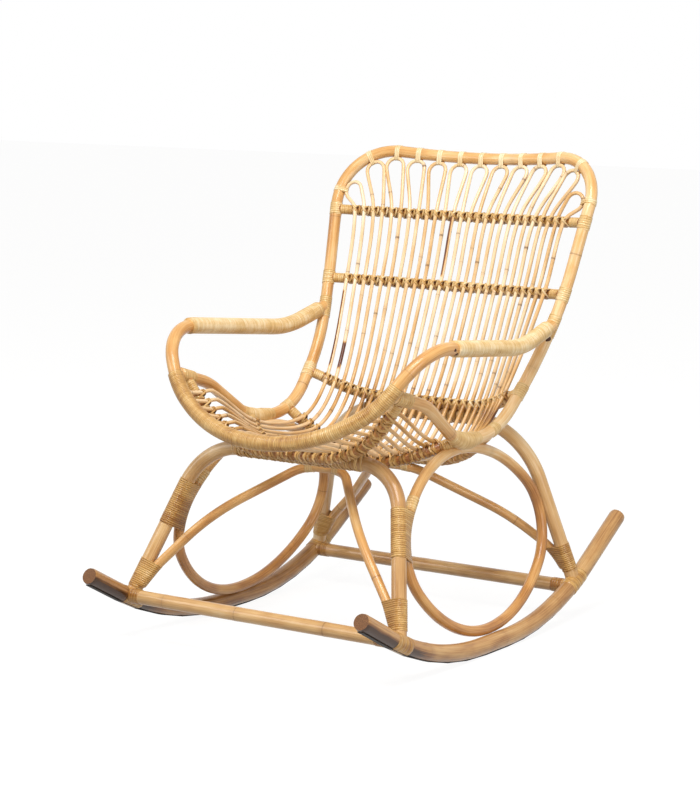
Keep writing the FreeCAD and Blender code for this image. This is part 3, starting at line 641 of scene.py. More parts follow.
def rattan(name, stops, along, fibre, roughness, node_colour="#85552c", node_depth=0.66, node_reach=0.003):
    """Rattan with streaks along its fibres, slow changes of tone, dark rings at its nodes and painted shade
    in the grooves of wound peel.
    """
    made, tree, shader = shading(name)
    place = add(tree, "Attribute", {"attribute_name": "straight"}).outputs["Vector"]
    tone, groove, off_node = [
        add(tree, "Attribute", {"attribute_name": kept}).outputs["Fac"]
        for kept in ("tone", "groove", "off_node")
    ]
    fine = add(tree, "Mapping", None, {
        "Vector": place, "Scale": (1 / along, 1 / fibre, 1 / fibre),
    }).outputs["Vector"]
    streak = add(tree, "TexNoise", None, {
        "Vector": fine, "Scale": 1.0, "Detail": 3.0, "Roughness": 0.6,
    }).outputs["Fac"]
    broad = add(tree, "Mapping", None, {"Vector": place, "Scale": PATCH_SCALE}).outputs["Vector"]
    patch = add(tree, "TexNoise", None, {
        "Vector": broad, "Scale": 1.0, "Detail": 2.0,
    }).outputs["Fac"]
    weighed = {"operation": "MULTIPLY_ADD"}
    level = add(tree, "Math", weighed, {0: streak, 1: STREAK_SHARE, 2: tone}).outputs[0]
    level = add(tree, "Math", weighed, {0: patch, 1: PATCH_SHARE, 2: level}).outputs[0]
    colour = add(tree, "ValToRGB", {"stops": stops}, {"Fac": level}).outputs["Color"]
    near = add(tree, "Math", weighed, {0: streak, 1: RAGGED_RING, 2: off_node}).outputs[0]
    ring = add(tree, "MapRange", None, {
        "Value": near, "From Min": 0.0006, "From Max": node_reach, "To Min": node_depth, "To Max": 0.0,
    }).outputs[0]
    halo = add(tree, "MapRange", None, {
        "Value": near, "From Min": 0.001, "From Max": HALO_REACH, "To Min": 0.3, "To Max": 0.0,
    }).outputs[0]
    dark = add(tree, "Math", weighed, {0: halo, 1: patch, 2: ring}).outputs[0]
    for share, shade in ((dark, node_colour), (groove, GROOVE_SHADE_COLOUR)):
        colour = add(tree, "Mix", {"data_type": "RGBA"}, {
            "Factor": share, 6: colour, 7: linear(shade),
        }).outputs[2]
    height = add(tree, "Math", {"operation": "SUBTRACT"}, {0: streak, 1: ring}).outputs[0]
    feed(tree, shader, {
        "Base Color": colour,
        "Roughness": add(tree, "MapRange", None, {
            "Value": patch, "To Min": roughness - 0.07, "To Max": roughness + 0.1,
        }).outputs[0],
        "Normal": add(tree, "Bump", None, {
            "Height": height, "Strength": 0.25, "Distance": 0.0006,
        }).outputs["Normal"],
        "IOR": 1.45,
        "Specular IOR Level": 0.35,
        "Coat Weight": 0.3,
        "Coat Roughness": 0.12,
    })
    return made


# Varnished rattan pole, skin on: honey with fine streaks along the pole and a dark ring at each node.
pole_skin = rattan(
    "varnished_rattan_pole",
    [(0.2, "#935a2a"), (0.42, "#c48a49"), (0.62, "#dead6c"), (0.86, "#efd2a4")],
    along=0.12, fibre=0.0022, roughness=0.34,
)
# Varnished rattan pole of the lower frame: a little greyer, and its darkest stop gives the painted shade
# under the rockers' front ends.
low_pole_skin = rattan(
    "lower_frame_rattan_pole",
    [(0.02, "#432812"), (0.22, "#8c5d32"), (0.42, "#ba8b54"), (0.62, "#d2a971"), (0.86, "#e8cea6")],
    along=0.12, fibre=0.0022, roughness=0.34, node_colour="#7d5029",
)
# Thin varnished cane: paler than the poles, with darker marks at its nodes and on a few dark canes.
cane_skin = rattan(
    "varnished_cane",
    [(0.0, "#57240a"), (0.12, "#7a4718"), (0.34, "#cc9a55"), (0.58, "#eac99b"), (0.86, "#f6e6ca")],
    along=0.09, fibre=0.0014, roughness=0.38, node_colour="#5c3210", node_depth=0.78, node_reach=0.0042,
)
# Rattan peel: pale split skin whose fibres run along the strip, so round the pole that it binds.
peel_skin = rattan(
    "rattan_peel",
    [(0.2, "#99662c"), (0.42, "#c79a57"), (0.62, "#dfbb7e"), (0.86, "#f3dfb6")],
    along=0.0022, fibre=0.03, roughness=0.4,
)


def cut_end_shading():
    """Sawn end of a rattan pole: brown, with the open pores of its fibres about a millimetre apart."""
    made, tree, shader = shading("sawn_rattan_end")
    place = add(tree, "Attribute", {"attribute_name": "straight"}).outputs["Vector"]
    pores = add(tree, "TexVoronoi", None, {"Vector": place, "Scale": 900.0}).outputs["Distance"]
    stops = [(0.1, "#35200c"), (0.4, "#684224"), (0.8, "#8a5f3a")]
    feed(tree, shader, {
        "Base Color": add(tree, "ValToRGB", {"stops": stops}, {"Fac": pores}).outputs["Color"],
        "Roughness": 0.75,
        "Normal": add(tree, "Bump", None, {
            "Height": pores, "Strength": 0.4, "Distance": 0.0004,
        }).outputs["Normal"],
    })
    return made


def rubber_shading():
    """Black rubber strip: matt, with faint scuffs a few millimetres long."""
    made, tree, shader = shading("matt_rubber")
    place = add(tree, "TexCoord").outputs["Object"]
    scuffs = add(tree, "Mapping", None, {
        "Vector": place, "Scale": (400, 60, 400),
    }).outputs["Vector"]
    marks = add(tree, "TexNoise", None, {
        "Vector": scuffs, "Scale": 1.0, "Detail": 4.0,
    }).outputs["Fac"]
    stops = [(0.35, "#17120f"), (0.6, "#2a221d"), (0.8, "#40362e")]
    feed(tree, shader, {
        "Base Color": add(tree, "ValToRGB", {"stops": stops}, {"Fac": marks}).outputs["Color"],
        "Roughness": add(tree, "MapRange", None, {
            "Value": marks, "To Min": 0.6, "To Max": 0.9,
        }).outputs[0],
        "Normal": add(tree, "Bump", None, {
            "Height": marks, "Strength": 0.2, "Distance": 0.0003,
        }).outputs["Normal"],
    })
    return made


def knot_and_shade_shading():
    """Scar of a rattan leaf, and painted shade in a hollow: dark brown and dull, mottled over about a
    millimetre.
    """
    made, tree, shader = shading("rattan_knot_and_painted_shade")
    place = add(tree, "TexCoord").outputs["Object"]
    mottle = add(tree, "TexNoise", None, {
        "Vector": place, "Scale": 900.0, "Detail": 2.0,
    }).outputs["Fac"]
    stops = [(0.35, "#2a1407"), (0.55, "#452610"), (0.75, "#6b421f")]
    feed(tree, shader, {
        "Base Color": add(tree, "ValToRGB", {"stops": stops}, {"Fac": mottle}).outputs["Color"],
        "Roughness": 0.7,
    })
    return made


cut_end = cut_end_shading()
rubber = rubber_shading()
knot_and_shade_skin = knot_and_shade_shading()

# Straight pieces, shaped along their lines

SMOOTH_ANGLE = math.radians(48)


def alone(piece):
    """Make a piece the only selected and active one."""
    bpy.ops.object.select_all(action="DESELECT")
    piece.select_set(True)
    bpy.context.view_layer.objects.active = piece


def face_outwards(fill=False):
    """Turn the active piece's faces outwards, once its open ends are filled where asked."""
    bpy.ops.object.mode_set(mode="EDIT")
    bpy.ops.mesh.select_all(action="SELECT")
    if fill:
        bpy.ops.mesh.fill_holes(sides=0)
    bpy.ops.mesh.normals_make_consistent(inside=False)
    bpy.ops.object.mode_set(mode="OBJECT")


def noted(piece, straight, **kept):
    """Keep each point's place on the straight piece and some values, for the material to read."""
    layer = piece.data.attributes.new("straight", "FLOAT_VECTOR", "POINT")
    layer.data.foreach_set("vector", [part for place in straight for part in place])
    for name, values in kept.items():
        layer = piece.data.attributes.new(name, "FLOAT", "POINT")
        layer.data.foreach_set("value", values)


def finished(piece, materials, slot, *nodes):
    """Shade a piece, let it ride with the chair and hide the solids that it stands in for."""
    alone(piece)
    bpy.ops.object.shade_smooth_by_angle(angle=SMOOTH_ANGLE)
    for made in materials:
        piece.data.materials.append(made)
    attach(piece, "root")
    if nodes:
        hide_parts(*nodes)


def drawn_out(name, thickness, length, sides, gap):
    """A straight tube along X with closed ends, as rings that lie a gap apart."""
    bpy.ops.object.select_all(action="DESELECT")
    bpy.ops.mesh.primitive_circle_add(vertices=sides, radius=thickness, rotation=(0, math.pi / 2, 0))
    piece = bpy.context.object
    piece.name = name
    bpy.ops.object.transform_apply(location=True, rotation=True, scale=True)
    draw_out = piece.modifiers.new("Draw out", "SCREW")
    draw_out.axis = "X"
    draw_out.angle = 0
    draw_out.screw_offset = length
    draw_out.steps = draw_out.render_steps = max(3, round(length / gap))
    bpy.ops.object.modifier_apply(modifier=draw_out.name)
    face_outwards(fill=True)
    return piece


END_ROUND = 0.0012
SWELL_REACH = 0.006
FAINTEST_NODE = 0.0024


def pole(name, line, thickness, node, materials, slot, sides, gap, node_gap, swell, tone, tones=None):
    """A pole along a line, with a slight swelling at each node of the plant and its end edges eased."""
    piece = drawn_out(name, thickness, line.length, sides, gap)
    shift = Vector((draw.uniform(1, 9), 0, 0))
    tone += draw.uniform(-0.04, 0.04)
    count = max(3, round(line.length / gap))
    step = line.length / count
    plant_nodes = []
    distance = draw.uniform(0.2, 1) * node_gap
    while distance < line.length:
        plant_nodes.append((round(distance / step) * step, draw.uniform(0, FAINTEST_NODE)))
        distance += draw.uniform(0.7, 1.5) * node_gap
    rings = []
    off_nodes = []
    side = line.at(0)[1].orthogonal()
    for number in range(count + 1):
        distance = number * step
        centre, along = line.at(distance)
        side = (side - along * side.dot(along)).normalized()
        to_node = min((abs(distance - place) for place, _ in plant_nodes), default=1)
        off_nodes.append(min((abs(distance - place) + faint for place, faint in plant_nodes), default=1))
        grown = 1 + swell * math.exp(-((to_node / SWELL_REACH) ** 2))
        if number in (0, count):
            grown = 1 - END_ROUND / thickness
        rings.append((centre, side, along.cross(side), grown))
    places = [point.co.copy() for point in piece.data.vertices]
    ring_numbers = [round(place.x / step) for place in places]
    shades = []
    for point, place, number in zip(piece.data.vertices, places, ring_numbers):
        centre, side, other, grown = rings[number]
        point.co = centre + (side * place.y + other * place.z) * grown
        shades.append(tone + (tones(point.co, place.x) if tones else 0))
    noted(
        piece, [place + shift for place in places],
        tone=shades, off_node=[off_nodes[number] for number in ring_numbers],
    )
    if len(materials) > 1:
        for face in piece.data.polygons:
            face.material_index = int(len(face.vertices) > 4)
    finished(piece, materials, slot, node)


COILED = 0.02
TURN_STEPS = 20
STRIP_TURNS = 18
STRIP = ((0.0, 0.0), (0.14, 0.8), (0.5, 1.0), (0.86, 0.8), (1.0, 0.0))


def coiled(name, pitch, height, turns):
    """A strip wound in turns round the X axis."""
    mesh = bpy.data.meshes.new(name)
    strip = [(share * pitch - pitch, 0, COILED + rise * height) for share, rise in STRIP]
    mesh.from_pydata(strip, [(number, number + 1) for number in range(len(strip) - 1)], [])
    piece = bpy.data.objects.new(name, mesh)
    bpy.context.scene.collection.objects.link(piece)
    alone(piece)
    coil = piece.modifiers.new("Coil", "SCREW")
    coil.axis = "X"
    coil.angle = 2 * math.pi
    coil.screw_offset = pitch
    coil.iterations = turns
    coil.steps = coil.render_steps = TURN_STEPS
    coil.use_merge_vertices = True
    coil.merge_threshold = pitch / 50
    bpy.ops.object.modifier_apply(modifier=coil.name)
    face_outwards()
    return piece


def winding(name, poles, start, end, pitch, height, nodes=(), lift=0.0004, tone=-0.06, depth=0.5, taper=0):
    """A strip of peel wound round one pole, or round poles side by side, between two distances."""
    length = end - start
    turns = max(1, round(length / pitch)) + 1
    pitch = length / (turns - 1)
    piece = coiled(name, pitch, height, turns)
    shift = Vector((draw.uniform(1, 9), 0, 0))
    turn_tones = []
    strip_tone = 0
    for _ in range(turns + 3):
        if draw.random() < 1 / STRIP_TURNS:
            strip_tone = draw.uniform(-0.1, 0.08)
        turn_tones.append(tone + strip_tone + draw.uniform(-0.05, 0.05))
    places = [point.co.copy() for point in piece.data.vertices]
    rises = [math.hypot(place.y, place.z) - COILED for place in places]
    noted(
        piece, [place + shift for place in places],
        # painted shade on the strip's low edges, in the grooves between turns
        groove=[depth * (1 - rise / height) ** 2 for rise in rises],
        tone=[turn_tones[int(place.x / pitch + 1.5)] for place in places],
        off_node=[1.0] * len(places),
    )
    line, thickness = poles[0]
    level = line.at(start)[1].orthogonal()
    for number in sorted(range(len(places)), key=lambda number: places[number].x):
        place = places[number]
        inside = min(max(place.x, 0), length)
        angle = math.atan2(place.z, place.y)
        centre, along = line.at(start + inside)
        level = (level - along * level.dot(along)).normalized()
        out = level * math.cos(angle) + along.cross(level) * math.sin(angle)
        stood = lift * min(1, inside / taper, (length - inside) / taper) if taper else lift
        reach = thickness + stood
        middle = centre
        for beside, beside_thickness in poles[1:]:
            hit = beside.in_plane(centre, along)
            if hit and (hit - centre).dot(out) + beside_thickness > thickness:
                middle = hit
                reach = beside_thickness + stood
        closed = place.x < 0 or place.x > length
        rise = -2 * stood if closed else rises[number]
        piece.data.vertices[number].co = middle + out * (reach + rise)
    finished(piece, [peel_skin], "peel", *nodes)


# Poles

POLE_SIDES = 20
POLE_RINGS = 0.005
POLE_NODES = 0.23
POLE_SWELL = 0.02
HOOP_MIDDLE = 0.27
HOOP_FADE = 0.1
HOOP_TOP_LIGHT = 0.3
RIGHT_LEG_LIGHT = 0.14
LEFT_POST_LIGHT = 0.07
HALF_BACK = 0.28
# Painted shade under the rockers' front ends
UNDER_SHADE_START = 0.2
UNDER_SHADE_FADE = 0.08
UNDER_SHADE_TONE = -0.55
UNDER_START = -0.15
UNDER_FADE = 0.4


def stout(name, line, diameter, tone, materials=(pole_skin,), tones=None):
    """A main pole of the frame, in place of its solid of the same name."""
    pole(
        name + "_pole", line, radius(diameter), name, materials, "rattan_pole",
        POLE_SIDES, POLE_RINGS, POLE_NODES, POLE_SWELL, tone, tones,
    )


def clamped(value, least=0):
    return min(max(value, least), 1)


def painted_light_top(place, _):
    """The tone of a hoop, with painted light on its upper half, which lies in the seat's shade."""
    return HOOP_TOP_LIGHT * clamped((place.z - HOOP_MIDDLE) / HOOP_FADE)


def painted_light_right(place, _):
    """The tone of a leg arch, with painted light on its right leg, which the seat shades."""
    return RIGHT_LEG_LIGHT if place.x < 0 else 0


def painted_light_left(place, _):
    """The tone of the back frame: painted light towards its left post and painted shade towards its right
    one.
    """
    return LEFT_POST_LIGHT * clamped(place.x / HALF_BACK, -1)


def painted_shade_under(line):
    """The tone of a rocker, with painted shade underneath its front end."""

    def tone(place, distance):
        under = (line.at(distance)[0].z - place.z) / radius("rocker_diameter")
        front = clamped((-UNDER_SHADE_START - place.y) / UNDER_SHADE_FADE)
        return UNDER_SHADE_TONE * front * clamped((under - UNDER_START) / UNDER_FADE)

    return tone


for side, line in rockers.items():
    # The rockers carry painted shade under their front ends.
    stout(f"{side}_rocker", line, "rocker_diameter", -0.18, (low_pole_skin, cut_end), painted_shade_under(line))
for place, leg_tone in (("front", -0.15), ("rear", 0.03)):
    end = on_rocker(rockers["left"], ARCHES[place] * size(f"{place}_stretcher_place"))[0]
    stout(f"{place}_stretcher", straight_across(end), "stretcher_diameter", -0.02, (low_pole_skin,))
    # The right leg of each leg arch carries painted light.
    stout(f"{place}_leg_arch", legs[place], "leg_diameter", leg_tone, (low_pole_skin,), painted_light_right)
    stout(f"{place}_brace_arch", braces[place], "brace_diameter", -0.04)
for side in ("left", "right"):
    # The hoops' upper halves carry painted light.
    stout(f"{side}_side_hoop", hoops[side], "hoop_diameter", -0.15, tones=painted_light_top)
    stout(f"{side}_seat_side", seat_sides[side], "frame_diameter", 0.02)
# The back frame carries painted light on its left post and painted shade on its right one.
stout("back_frame", back_frame, "frame_diameter", 0.02, tones=painted_light_left)
stout("arm_and_front_rim", arm_pole, "arm_pole_diameter", -0.03)
for name, line in rails.items():
    stout(name, line, "rail_diameter", -0.32)

# Canes: a few have a dark stretch between two heights, some only along one edge, and painted shade darkens
# them at the seat and where the back starts

CANE_SIDES = 10
CANE_RINGS = 0.007
CANE_NODES = 0.19
CANE_SWELL = 0.1
DARK_CANES = {24: (0.458, 0.503), 25: (0.463, 0.6), 14: (0.64, 0.76)}
DARK_EDGES = (14, 25)
DARK_TONE = -0.6
PALE_EDGE = Vector((0.82, 0.57, 0))
BACK_START = 0.5
SEAT_FADE = 0.08
SEAT_SHADE = -0.08
LOW_BACK = 0.405
LOW_BACK_REACH = 0.045
LOW_BACK_SHADE = -0.22


def cane_tones(first, second, line):
    """The tone of a hairpin: darker on a dark cane, and darker with painted shade at the seat and where the
    back starts.
    """

    def tone(place, distance):
        number = first if distance < line.length / 2 else second
        low, high = DARK_CANES.get(number, (1, 1))
        dark = DARK_TONE if low < place.z < high else 0
        if number in DARK_EDGES and (place - line.at(distance)[0]).dot(PALE_EDGE) > 0:
            dark = 0
        # Painted shade: darker at the seat and just below the lower back rail
        seat = clamped((BACK_START - place.z) / SEAT_FADE)
        low_back_shade = max(0, 1 - abs(place.z - LOW_BACK) / LOW_BACK_REACH) if place.y > 0 else 0
        return dark + SEAT_SHADE * seat + LOW_BACK_SHADE * low_back_shade

    return tone


for number, (line, tie) in enumerate(hairpins):
    tones = cane_tones(2 * number, 2 * number + 1, line)
    node = f"cane_loop_{number + 1:02d}"
    pole(
        node + "_cane", line, radius("cane_diameter"), node, (cane_skin,), "cane",
        CANE_SIDES, CANE_RINGS, CANE_NODES, CANE_SWELL, draw.uniform(-0.08, 0.08), tones,
    )

# Wound peel

PEEL_PITCH = 0.0036
PEEL_RISE = 0.0007
BINDING_PITCH = 0.0038
BINDING_RISE = 0.0009
BINDING_TONE = -0.16
RIM_WRAP_SHORTER = 0.022
RIGHT_ARM_LONGER = 0.036
BOUND_BRACE = 0.09
arm_radius = radius("arm_pole_diameter")
leg_radius = radius("leg_diameter")
wound_lift = size("wrap_thickness") - PEEL_RISE
wrap_start = on_rim(size("rim_wrap_height"))
arm_wrap_front = arm_pole.where("y", -size("arm_wrap_start"), 0, arm_pole.length / 3)
arm_wrap_rear = size("frame_diameter")
right_wrap_front = arm_pole.length - arm_wrap_front - RIGHT_ARM_LONGER
for name, start, end, thicker, tone in (
    ("front_rim", wrap_start, arm_pole.length - wrap_start - RIM_WRAP_SHORTER, 0, -0.09),
    ("left_arm", arm_wrap_rear, arm_wrap_front, 0.001, 0.12),
    ("right_arm", right_wrap_front, arm_pole.length - arm_wrap_rear, 0.0015, 0.1),
):
    winding(
        name + "_winding", [(arm_pole, arm_radius)], start, end,
        PEEL_PITCH, PEEL_RISE, [name + "_wrap"], wound_lift + thicker, tone,
    )


def at_height(line, height):
    return line.where("z", height, 0, line.length / 2)


def both_ends(line, start, end):
    """Each side's name with a stretch near the line's left end, and the same near its right end."""
    return ("left", start, end), ("right", line.length - end, line.length - start)


def bound(line, binding):
    """The stretches of a leg arch where each of its legs is bound."""
    low = at_height(line, size(f"{binding}_height"))
    high = at_height(line, size(f"{binding}_height") + size(f"{binding}_length"))
    return both_ends(line, low, high)


for place, line in legs.items():
    for side, start, end in bound(line, "foot_binding"):
        if side == "left":
            tapered = Line([line.at(start)[0]] + braces[place].between(0, BOUND_BRACE).points)
        else:
            tapered = Line([mirrored(point) for point in tapered.points])
        both = [(line, leg_radius), (tapered, radius("brace_diameter"))]
        name = f"{place}_{side}_foot"
        winding(
            name + "_turns", both, start, end, BINDING_PITCH, BINDING_RISE,
            [name + "_binding"], tone=BINDING_TONE,
        )
for side, start, end in bound(legs["front"], "hoop_binding"):
    both = [(legs["front"], leg_radius), (hoops[side], radius("hoop_diameter"))]
    winding(
        f"{side}_hoop_turns", both, start, end, BINDING_PITCH, BINDING_RISE,
        [f"{side}_hoop_binding"], tone=BINDING_TONE,
    )

# Lashings: straps cross over each cane and go round its rail, and chevrons of peel fill the gaps

STRAP_WIDTH = 0.0046
STRAP_THICKNESS = 0.0013
STRAP_SLANT = 0.0064
STRAP_ON_CANE = ((0.0022, 0.0026), (0.0038, 0.0049))
STRAP_OFF_CANE = 0.0052
CHEVRON_REACH = 0.0028
CHEVRON_CORNERS = 14
CHEVRONS_PER_GAP = 2
BAR_LASHED = 0.15


def crossing_route(rail_radius, slant):
    """Points along a slanted strap that goes over a cane at its top and round a rail along X."""
    around = rail_radius + STRAP_THICKNESS / 2
    cane = radius("cane_diameter") + STRAP_THICKNESS / 2
    cane_height = rail_radius + radius("cane_diameter") + size("fit_gap")
    half = [(0, 0, cane_height + cane)]
    for x, y in STRAP_ON_CANE:
        half.append((x, y, cane_height + math.sqrt(cane**2 - x**2)))
    half.append((STRAP_OFF_CANE, around * 0.8, around * 0.72))
    half.append((STRAP_SLANT, around * 1.01, 0))
    half.append((0.8 * STRAP_SLANT, around * 0.71, -around * 0.71))
    half.append((0, 0, -around))
    other = [(-x, -y, z) for x, y, z in half[-2:0:-1]]
    return [Vector((x * slant, y, z)) for x, y, z in half + other]


def chevron_route(rail_radius):
    """Points along a strap round a rail along X, bent one way above and below, the other at its sides."""
    around = rail_radius + STRAP_THICKNESS
    route = []
    for number in range(CHEVRON_CORNERS):
        angle = 2 * math.pi * number / CHEVRON_CORNERS
        shift = CHEVRON_REACH * math.cos(2 * angle)
        route.append(Vector((shift, around * math.cos(angle), around * math.sin(angle))))
    return route


def strap_mesh(route):
    """One strap as a closed band with a raised middle and two thin edges."""
    count = len(route)
    points = []
    faces = []
    for number, place in enumerate(route):
        along = (route[(number + 1) % count] - route[number - 1]).normalized()
        out = Vector((0, place.y, place.z + 0.0001)).normalized()
        out = (out - along * out.dot(along)).normalized()
        width = along.cross(out) * (STRAP_WIDTH / 2)
        low = place - out * (STRAP_THICKNESS * 0.9)
        high = place + out * STRAP_THICKNESS / 2
        points += [low - width, high - width * 0.6, high + width * 0.6, low + width]
        first, second = 4 * number, 4 * ((number + 1) % count)
        for edge in range(3):
            faces.append((first + edge, first + edge + 1, second + edge + 1, second + edge))
    mesh = bpy.data.meshes.new("strap")
    mesh.from_pydata(points, [], faces)
    return mesh


def strap_copy(name, strap, stand, grown, tone):
    """A copy of a strap at its stand, with its own shade and a slight turn."""
    piece = bpy.data.objects.new(name, strap.copy())
    bpy.context.scene.collection.objects.link(piece)
    shift = Vector((draw.uniform(1, 9), 0, 0))
    count = len(piece.data.vertices)
    noted(
        piece, [point.co + shift for point in piece.data.vertices],
        tone=[tone + draw.uniform(-0.17, 0.1)] * count,
        # painted shade on each strap's thin edges
        groove=[0.75, 0.0, 0.0, 0.75] * (count // 4),
        off_node=[1.0] * count,
    )
    turn = Matrix.Rotation(draw.uniform(-0.12, 0.12), 4, "Z")
    piece.data.transform(stand @ turn @ Matrix.Diagonal((1, grown, grown, 1)))
    return piece


def standing(place, along, out):
    """The stand of a strap: its X along the rail and its Z towards the cane."""
    across = out.cross(along).normalized()
    stand = Matrix((along, across, along.cross(across))).transposed().to_4x4()
    stand.translation = place
    return stand


def lashings(name, rail_radius, places, tone):
    """All the straps on one rail, copies of two slanted straps and a chevron, joined as one piece."""
    crossed = [strap_mesh(crossing_route(rail_radius, slant)) for slant in (1, -1)]
    chevron = strap_mesh(chevron_route(rail_radius))
    copies = []
    for place in places:
        for layer, strap in enumerate(crossed):
            grown = 1 + 0.05 * layer + draw.uniform(-0.02, 0.03)
            copies.append(strap_copy(name, strap, standing(*place), grown, tone))
    for first, second in zip(places, places[1:]):
        for number in range(CHEVRONS_PER_GAP):
            share = (number + 1) / (CHEVRONS_PER_GAP + 1)
            place = [one.lerp(other, share) for one, other in zip(first, second)]
            grown = 1 + draw.uniform(-0.02, 0.05)
            copies.append(strap_copy(name, chevron, standing(*place), grown, tone))
    alone(copies[0])
    for piece in copies:
        piece.select_set(True)
    bpy.ops.object.join()
    face_outwards()
    finished(copies[0], [peel_skin], "peel")


for name in RAIL_ORDER:
    # The seat rails' lashings are darker than the back rails': painted shade under the seat.
    tone = 0.03 if "back" in name else -0.12
    lashings(name + "_lashings", radius("rail_diameter"), crossings[name], tone)
for arch, rearward in ARCHES.items():
    bar_y = rearward * size(f"{arch}_arch_place")
    bar_z = size(f"{arch}_arch_height")
    lashings(f"{arch}_arch_lashings", leg_radius, [
        (Vector((place.x, bar_y, bar_z)), -ACROSS, UP)
        for place in bar_crossings if abs(place.x) < BAR_LASHED
    ], -0.1)

# Bands of peel at the joints

BAND_PITCH = 0.0042
BAND_RISE = 0.0006
POST_BANDS = {"upper": 0.026, "middle": 0.028, "lower": 0.03}
ARM_JOINT_BAND = 0.044
ARM_JOINT_DROP = 0.003
SEAT_BAND = 0.02
SPLICE_WRAP = 0.095
SPLICE_LIFT = 0.0042
SPLICE_TAPER = 0.03
SEAT_SIDE_TIE = 0.042
TIE_PITCH = 0.006
TIE_RISE = 0.0014
HOOP_TIE = 0.03
HOOP_TIE_PITCH = 0.005
CROWN_TIE = 0.0112
CROWN_TIE_PITCH = 0.0037
BRACE_TIE = 0.016
BRACE_TIE_SHARE = 0.11
ROCKER_BAND = 0.05
ROCKER_BAND_PITCH = 0.0125
STRETCHER_BAND = 0.022
STRETCHER_BAND_PLACE = 0.026
STRETCHER_BAND_PITCH = 0.0055
CANE_CLEARANCE = 0.008
frame_radius = radius("frame_diameter")
rail_radius = radius("rail_diameter")


def band(name, poles, middle, length, pitch=BAND_PITCH, tone=0.04):
    """A short band of turns round one pole, or round two side by side."""
    start = max(middle - length / 2, 0)
    end = min(middle + length / 2, poles[0][0].length)
    winding(name, poles, start, end, pitch, BAND_RISE, tone=tone, depth=0.4)


def post_bands(name, distance, length):
    """A band on each post, at the same distance from the two ends of the back frame."""
    band(f"left_{name}", [(back_frame, frame_radius)], distance, length)
    band(f"right_{name}", [(back_frame, frame_radius)], back_frame.length - distance, length)


for rail, length in POST_BANDS.items():
    post_bands(f"post_{rail}_band", post_distance(size(f"{rail}_rail_height")), length)
arm_joint = post_distance(size("arm_joint_height") - ARM_JOINT_DROP)
post_bands("arm_joint_band", arm_joint, ARM_JOINT_BAND)
post_bands("rear_seat_band", rear_joint, SEAT_BAND)
for side, line in seat_sides.items():
    for rail in ("middle", "front"):
        distance = line.where("y", -size(f"{rail}_seat_rail_place"))
        band(f"{side}_{rail}_seat_band", [(line, frame_radius)], distance, SEAT_BAND)
    winding(
        f"{side}_splice_turns", [(line, frame_radius)], 0, SPLICE_WRAP, PEEL_PITCH, PEEL_RISE,
        lift=SPLICE_LIFT, tone=0.02, depth=0.25, taper=SPLICE_TAPER,
    )
    front = line.length - size("arm_pole_diameter") * 0.6
    winding(
        f"{side}_seat_side_tie", [(line, frame_radius)], front - SEAT_SIDE_TIE, front,
        TIE_PITCH, TIE_RISE, tone=-0.02, depth=0.7,
    )
    hoop = hoops[side]
    upper_tie = at_height(hoop, size("hoop_binding_height") + size("hoop_binding_length"))
    poles = [(hoop, radius("hoop_diameter"))]
    band(f"{side}_hoop_tie", poles, upper_tie, HOOP_TIE, HOOP_TIE_PITCH, 0.0)
for name, line in rails.items():
    first_cane = line.length * (1 - CANE_SPREAD) / 2 - CANE_CLEARANCE
    for side, start, end in both_ends(line, frame_radius, first_cane):
        winding(f"{name}_{side}_end", [(line, rail_radius)], start, end, BAND_PITCH, BAND_RISE)
for number, (line, tie) in enumerate(hairpins):
    both = [(back_frame, frame_radius), (line, radius("cane_diameter"))]
    band(f"crown_tie_{number + 1:02d}", both, tie, CROWN_TIE, CROWN_TIE_PITCH, 0.2)
for brace, rail in (("front", "middle_seat_rail"), ("rear", "rear_seat_rail")):
    both = [(rails[rail], rail_radius), (braces[brace], radius("brace_diameter"))]
    for side, share in (("left", BRACE_TIE_SHARE), ("right", -BRACE_TIE_SHARE)):
        band(f"{brace}_brace_{side}_tie", both, rails[rail].length * (1 - share) / 2, BRACE_TIE)
for side, rocker in rockers.items():
    for place, rearward in ARCHES.items():
        distance = rocker.where("y", rearward * size(f"{place}_foot_place"))
        poles = [(rocker, radius("rocker_diameter"))]
        band(f"{side}_{place}_rocker_band", poles, distance, ROCKER_BAND, ROCKER_BAND_PITCH, -0.2)
        end = on_rocker(rocker, rearward * size(f"{place}_stretcher_place"))[0]
        bar = Line([end, Vector((end.x * 0.5, end.y, end.z))])
        poles = [(bar, radius("stretcher_diameter"))]
        band(
            f"{side}_{place}_stretcher_band", poles,
            STRETCHER_BAND_PLACE, STRETCHER_BAND, STRETCHER_BAND_PITCH, -0.3,
        )

# Knots: two dark scars on the left arm where its wound peel starts, and a dark dome of painted shade in the
# hollow where the arm meets the post

ARM_KNOT = 0.0038
POST_SHADE_DOME = 0.0065
POST_SHADE_DROP = 0.027
OUTWARD = Vector((0.75, -0.4, -0.25))
UNDER_ARM = Vector((0.7, -0.7, 0))


def knot(name, line, distance, thickness, toward, reach):
    """A low dome on a pole at a distance along it, on the side towards a direction."""
    centre, along = line.at(distance)
    out = (toward - along * toward.dot(along)).normalized()
    bpy.ops.object.select_all(action="DESELECT")
    bpy.ops.mesh.primitive_uv_sphere_add(segments=12, ring_count=8, radius=reach)
    piece = bpy.context.object
    piece.name = name
    stand = Matrix((along, out.cross(along), out)).transposed().to_4x4()
    stand.translation = centre + out * thickness
    for point in piece.data.vertices:
        ripple = 1 + 0.18 * math.sin(3 * math.atan2(point.co.y, point.co.x))
        point.co = Vector((point.co.x * ripple, point.co.y * 0.75 * ripple, point.co.z * 0.35))
    piece.data.transform(stand)
    finished(piece, [knot_and_shade_skin], "rattan_pole")


for number, (past, lean) in enumerate(((0.004, -0.5), (0.016, 0.2))):
    toward = OUTWARD + UP * lean
    knot(f"left_arm_knot_{number + 1}", arm_pole, arm_wrap_front + past, arm_radius, toward, ARM_KNOT)
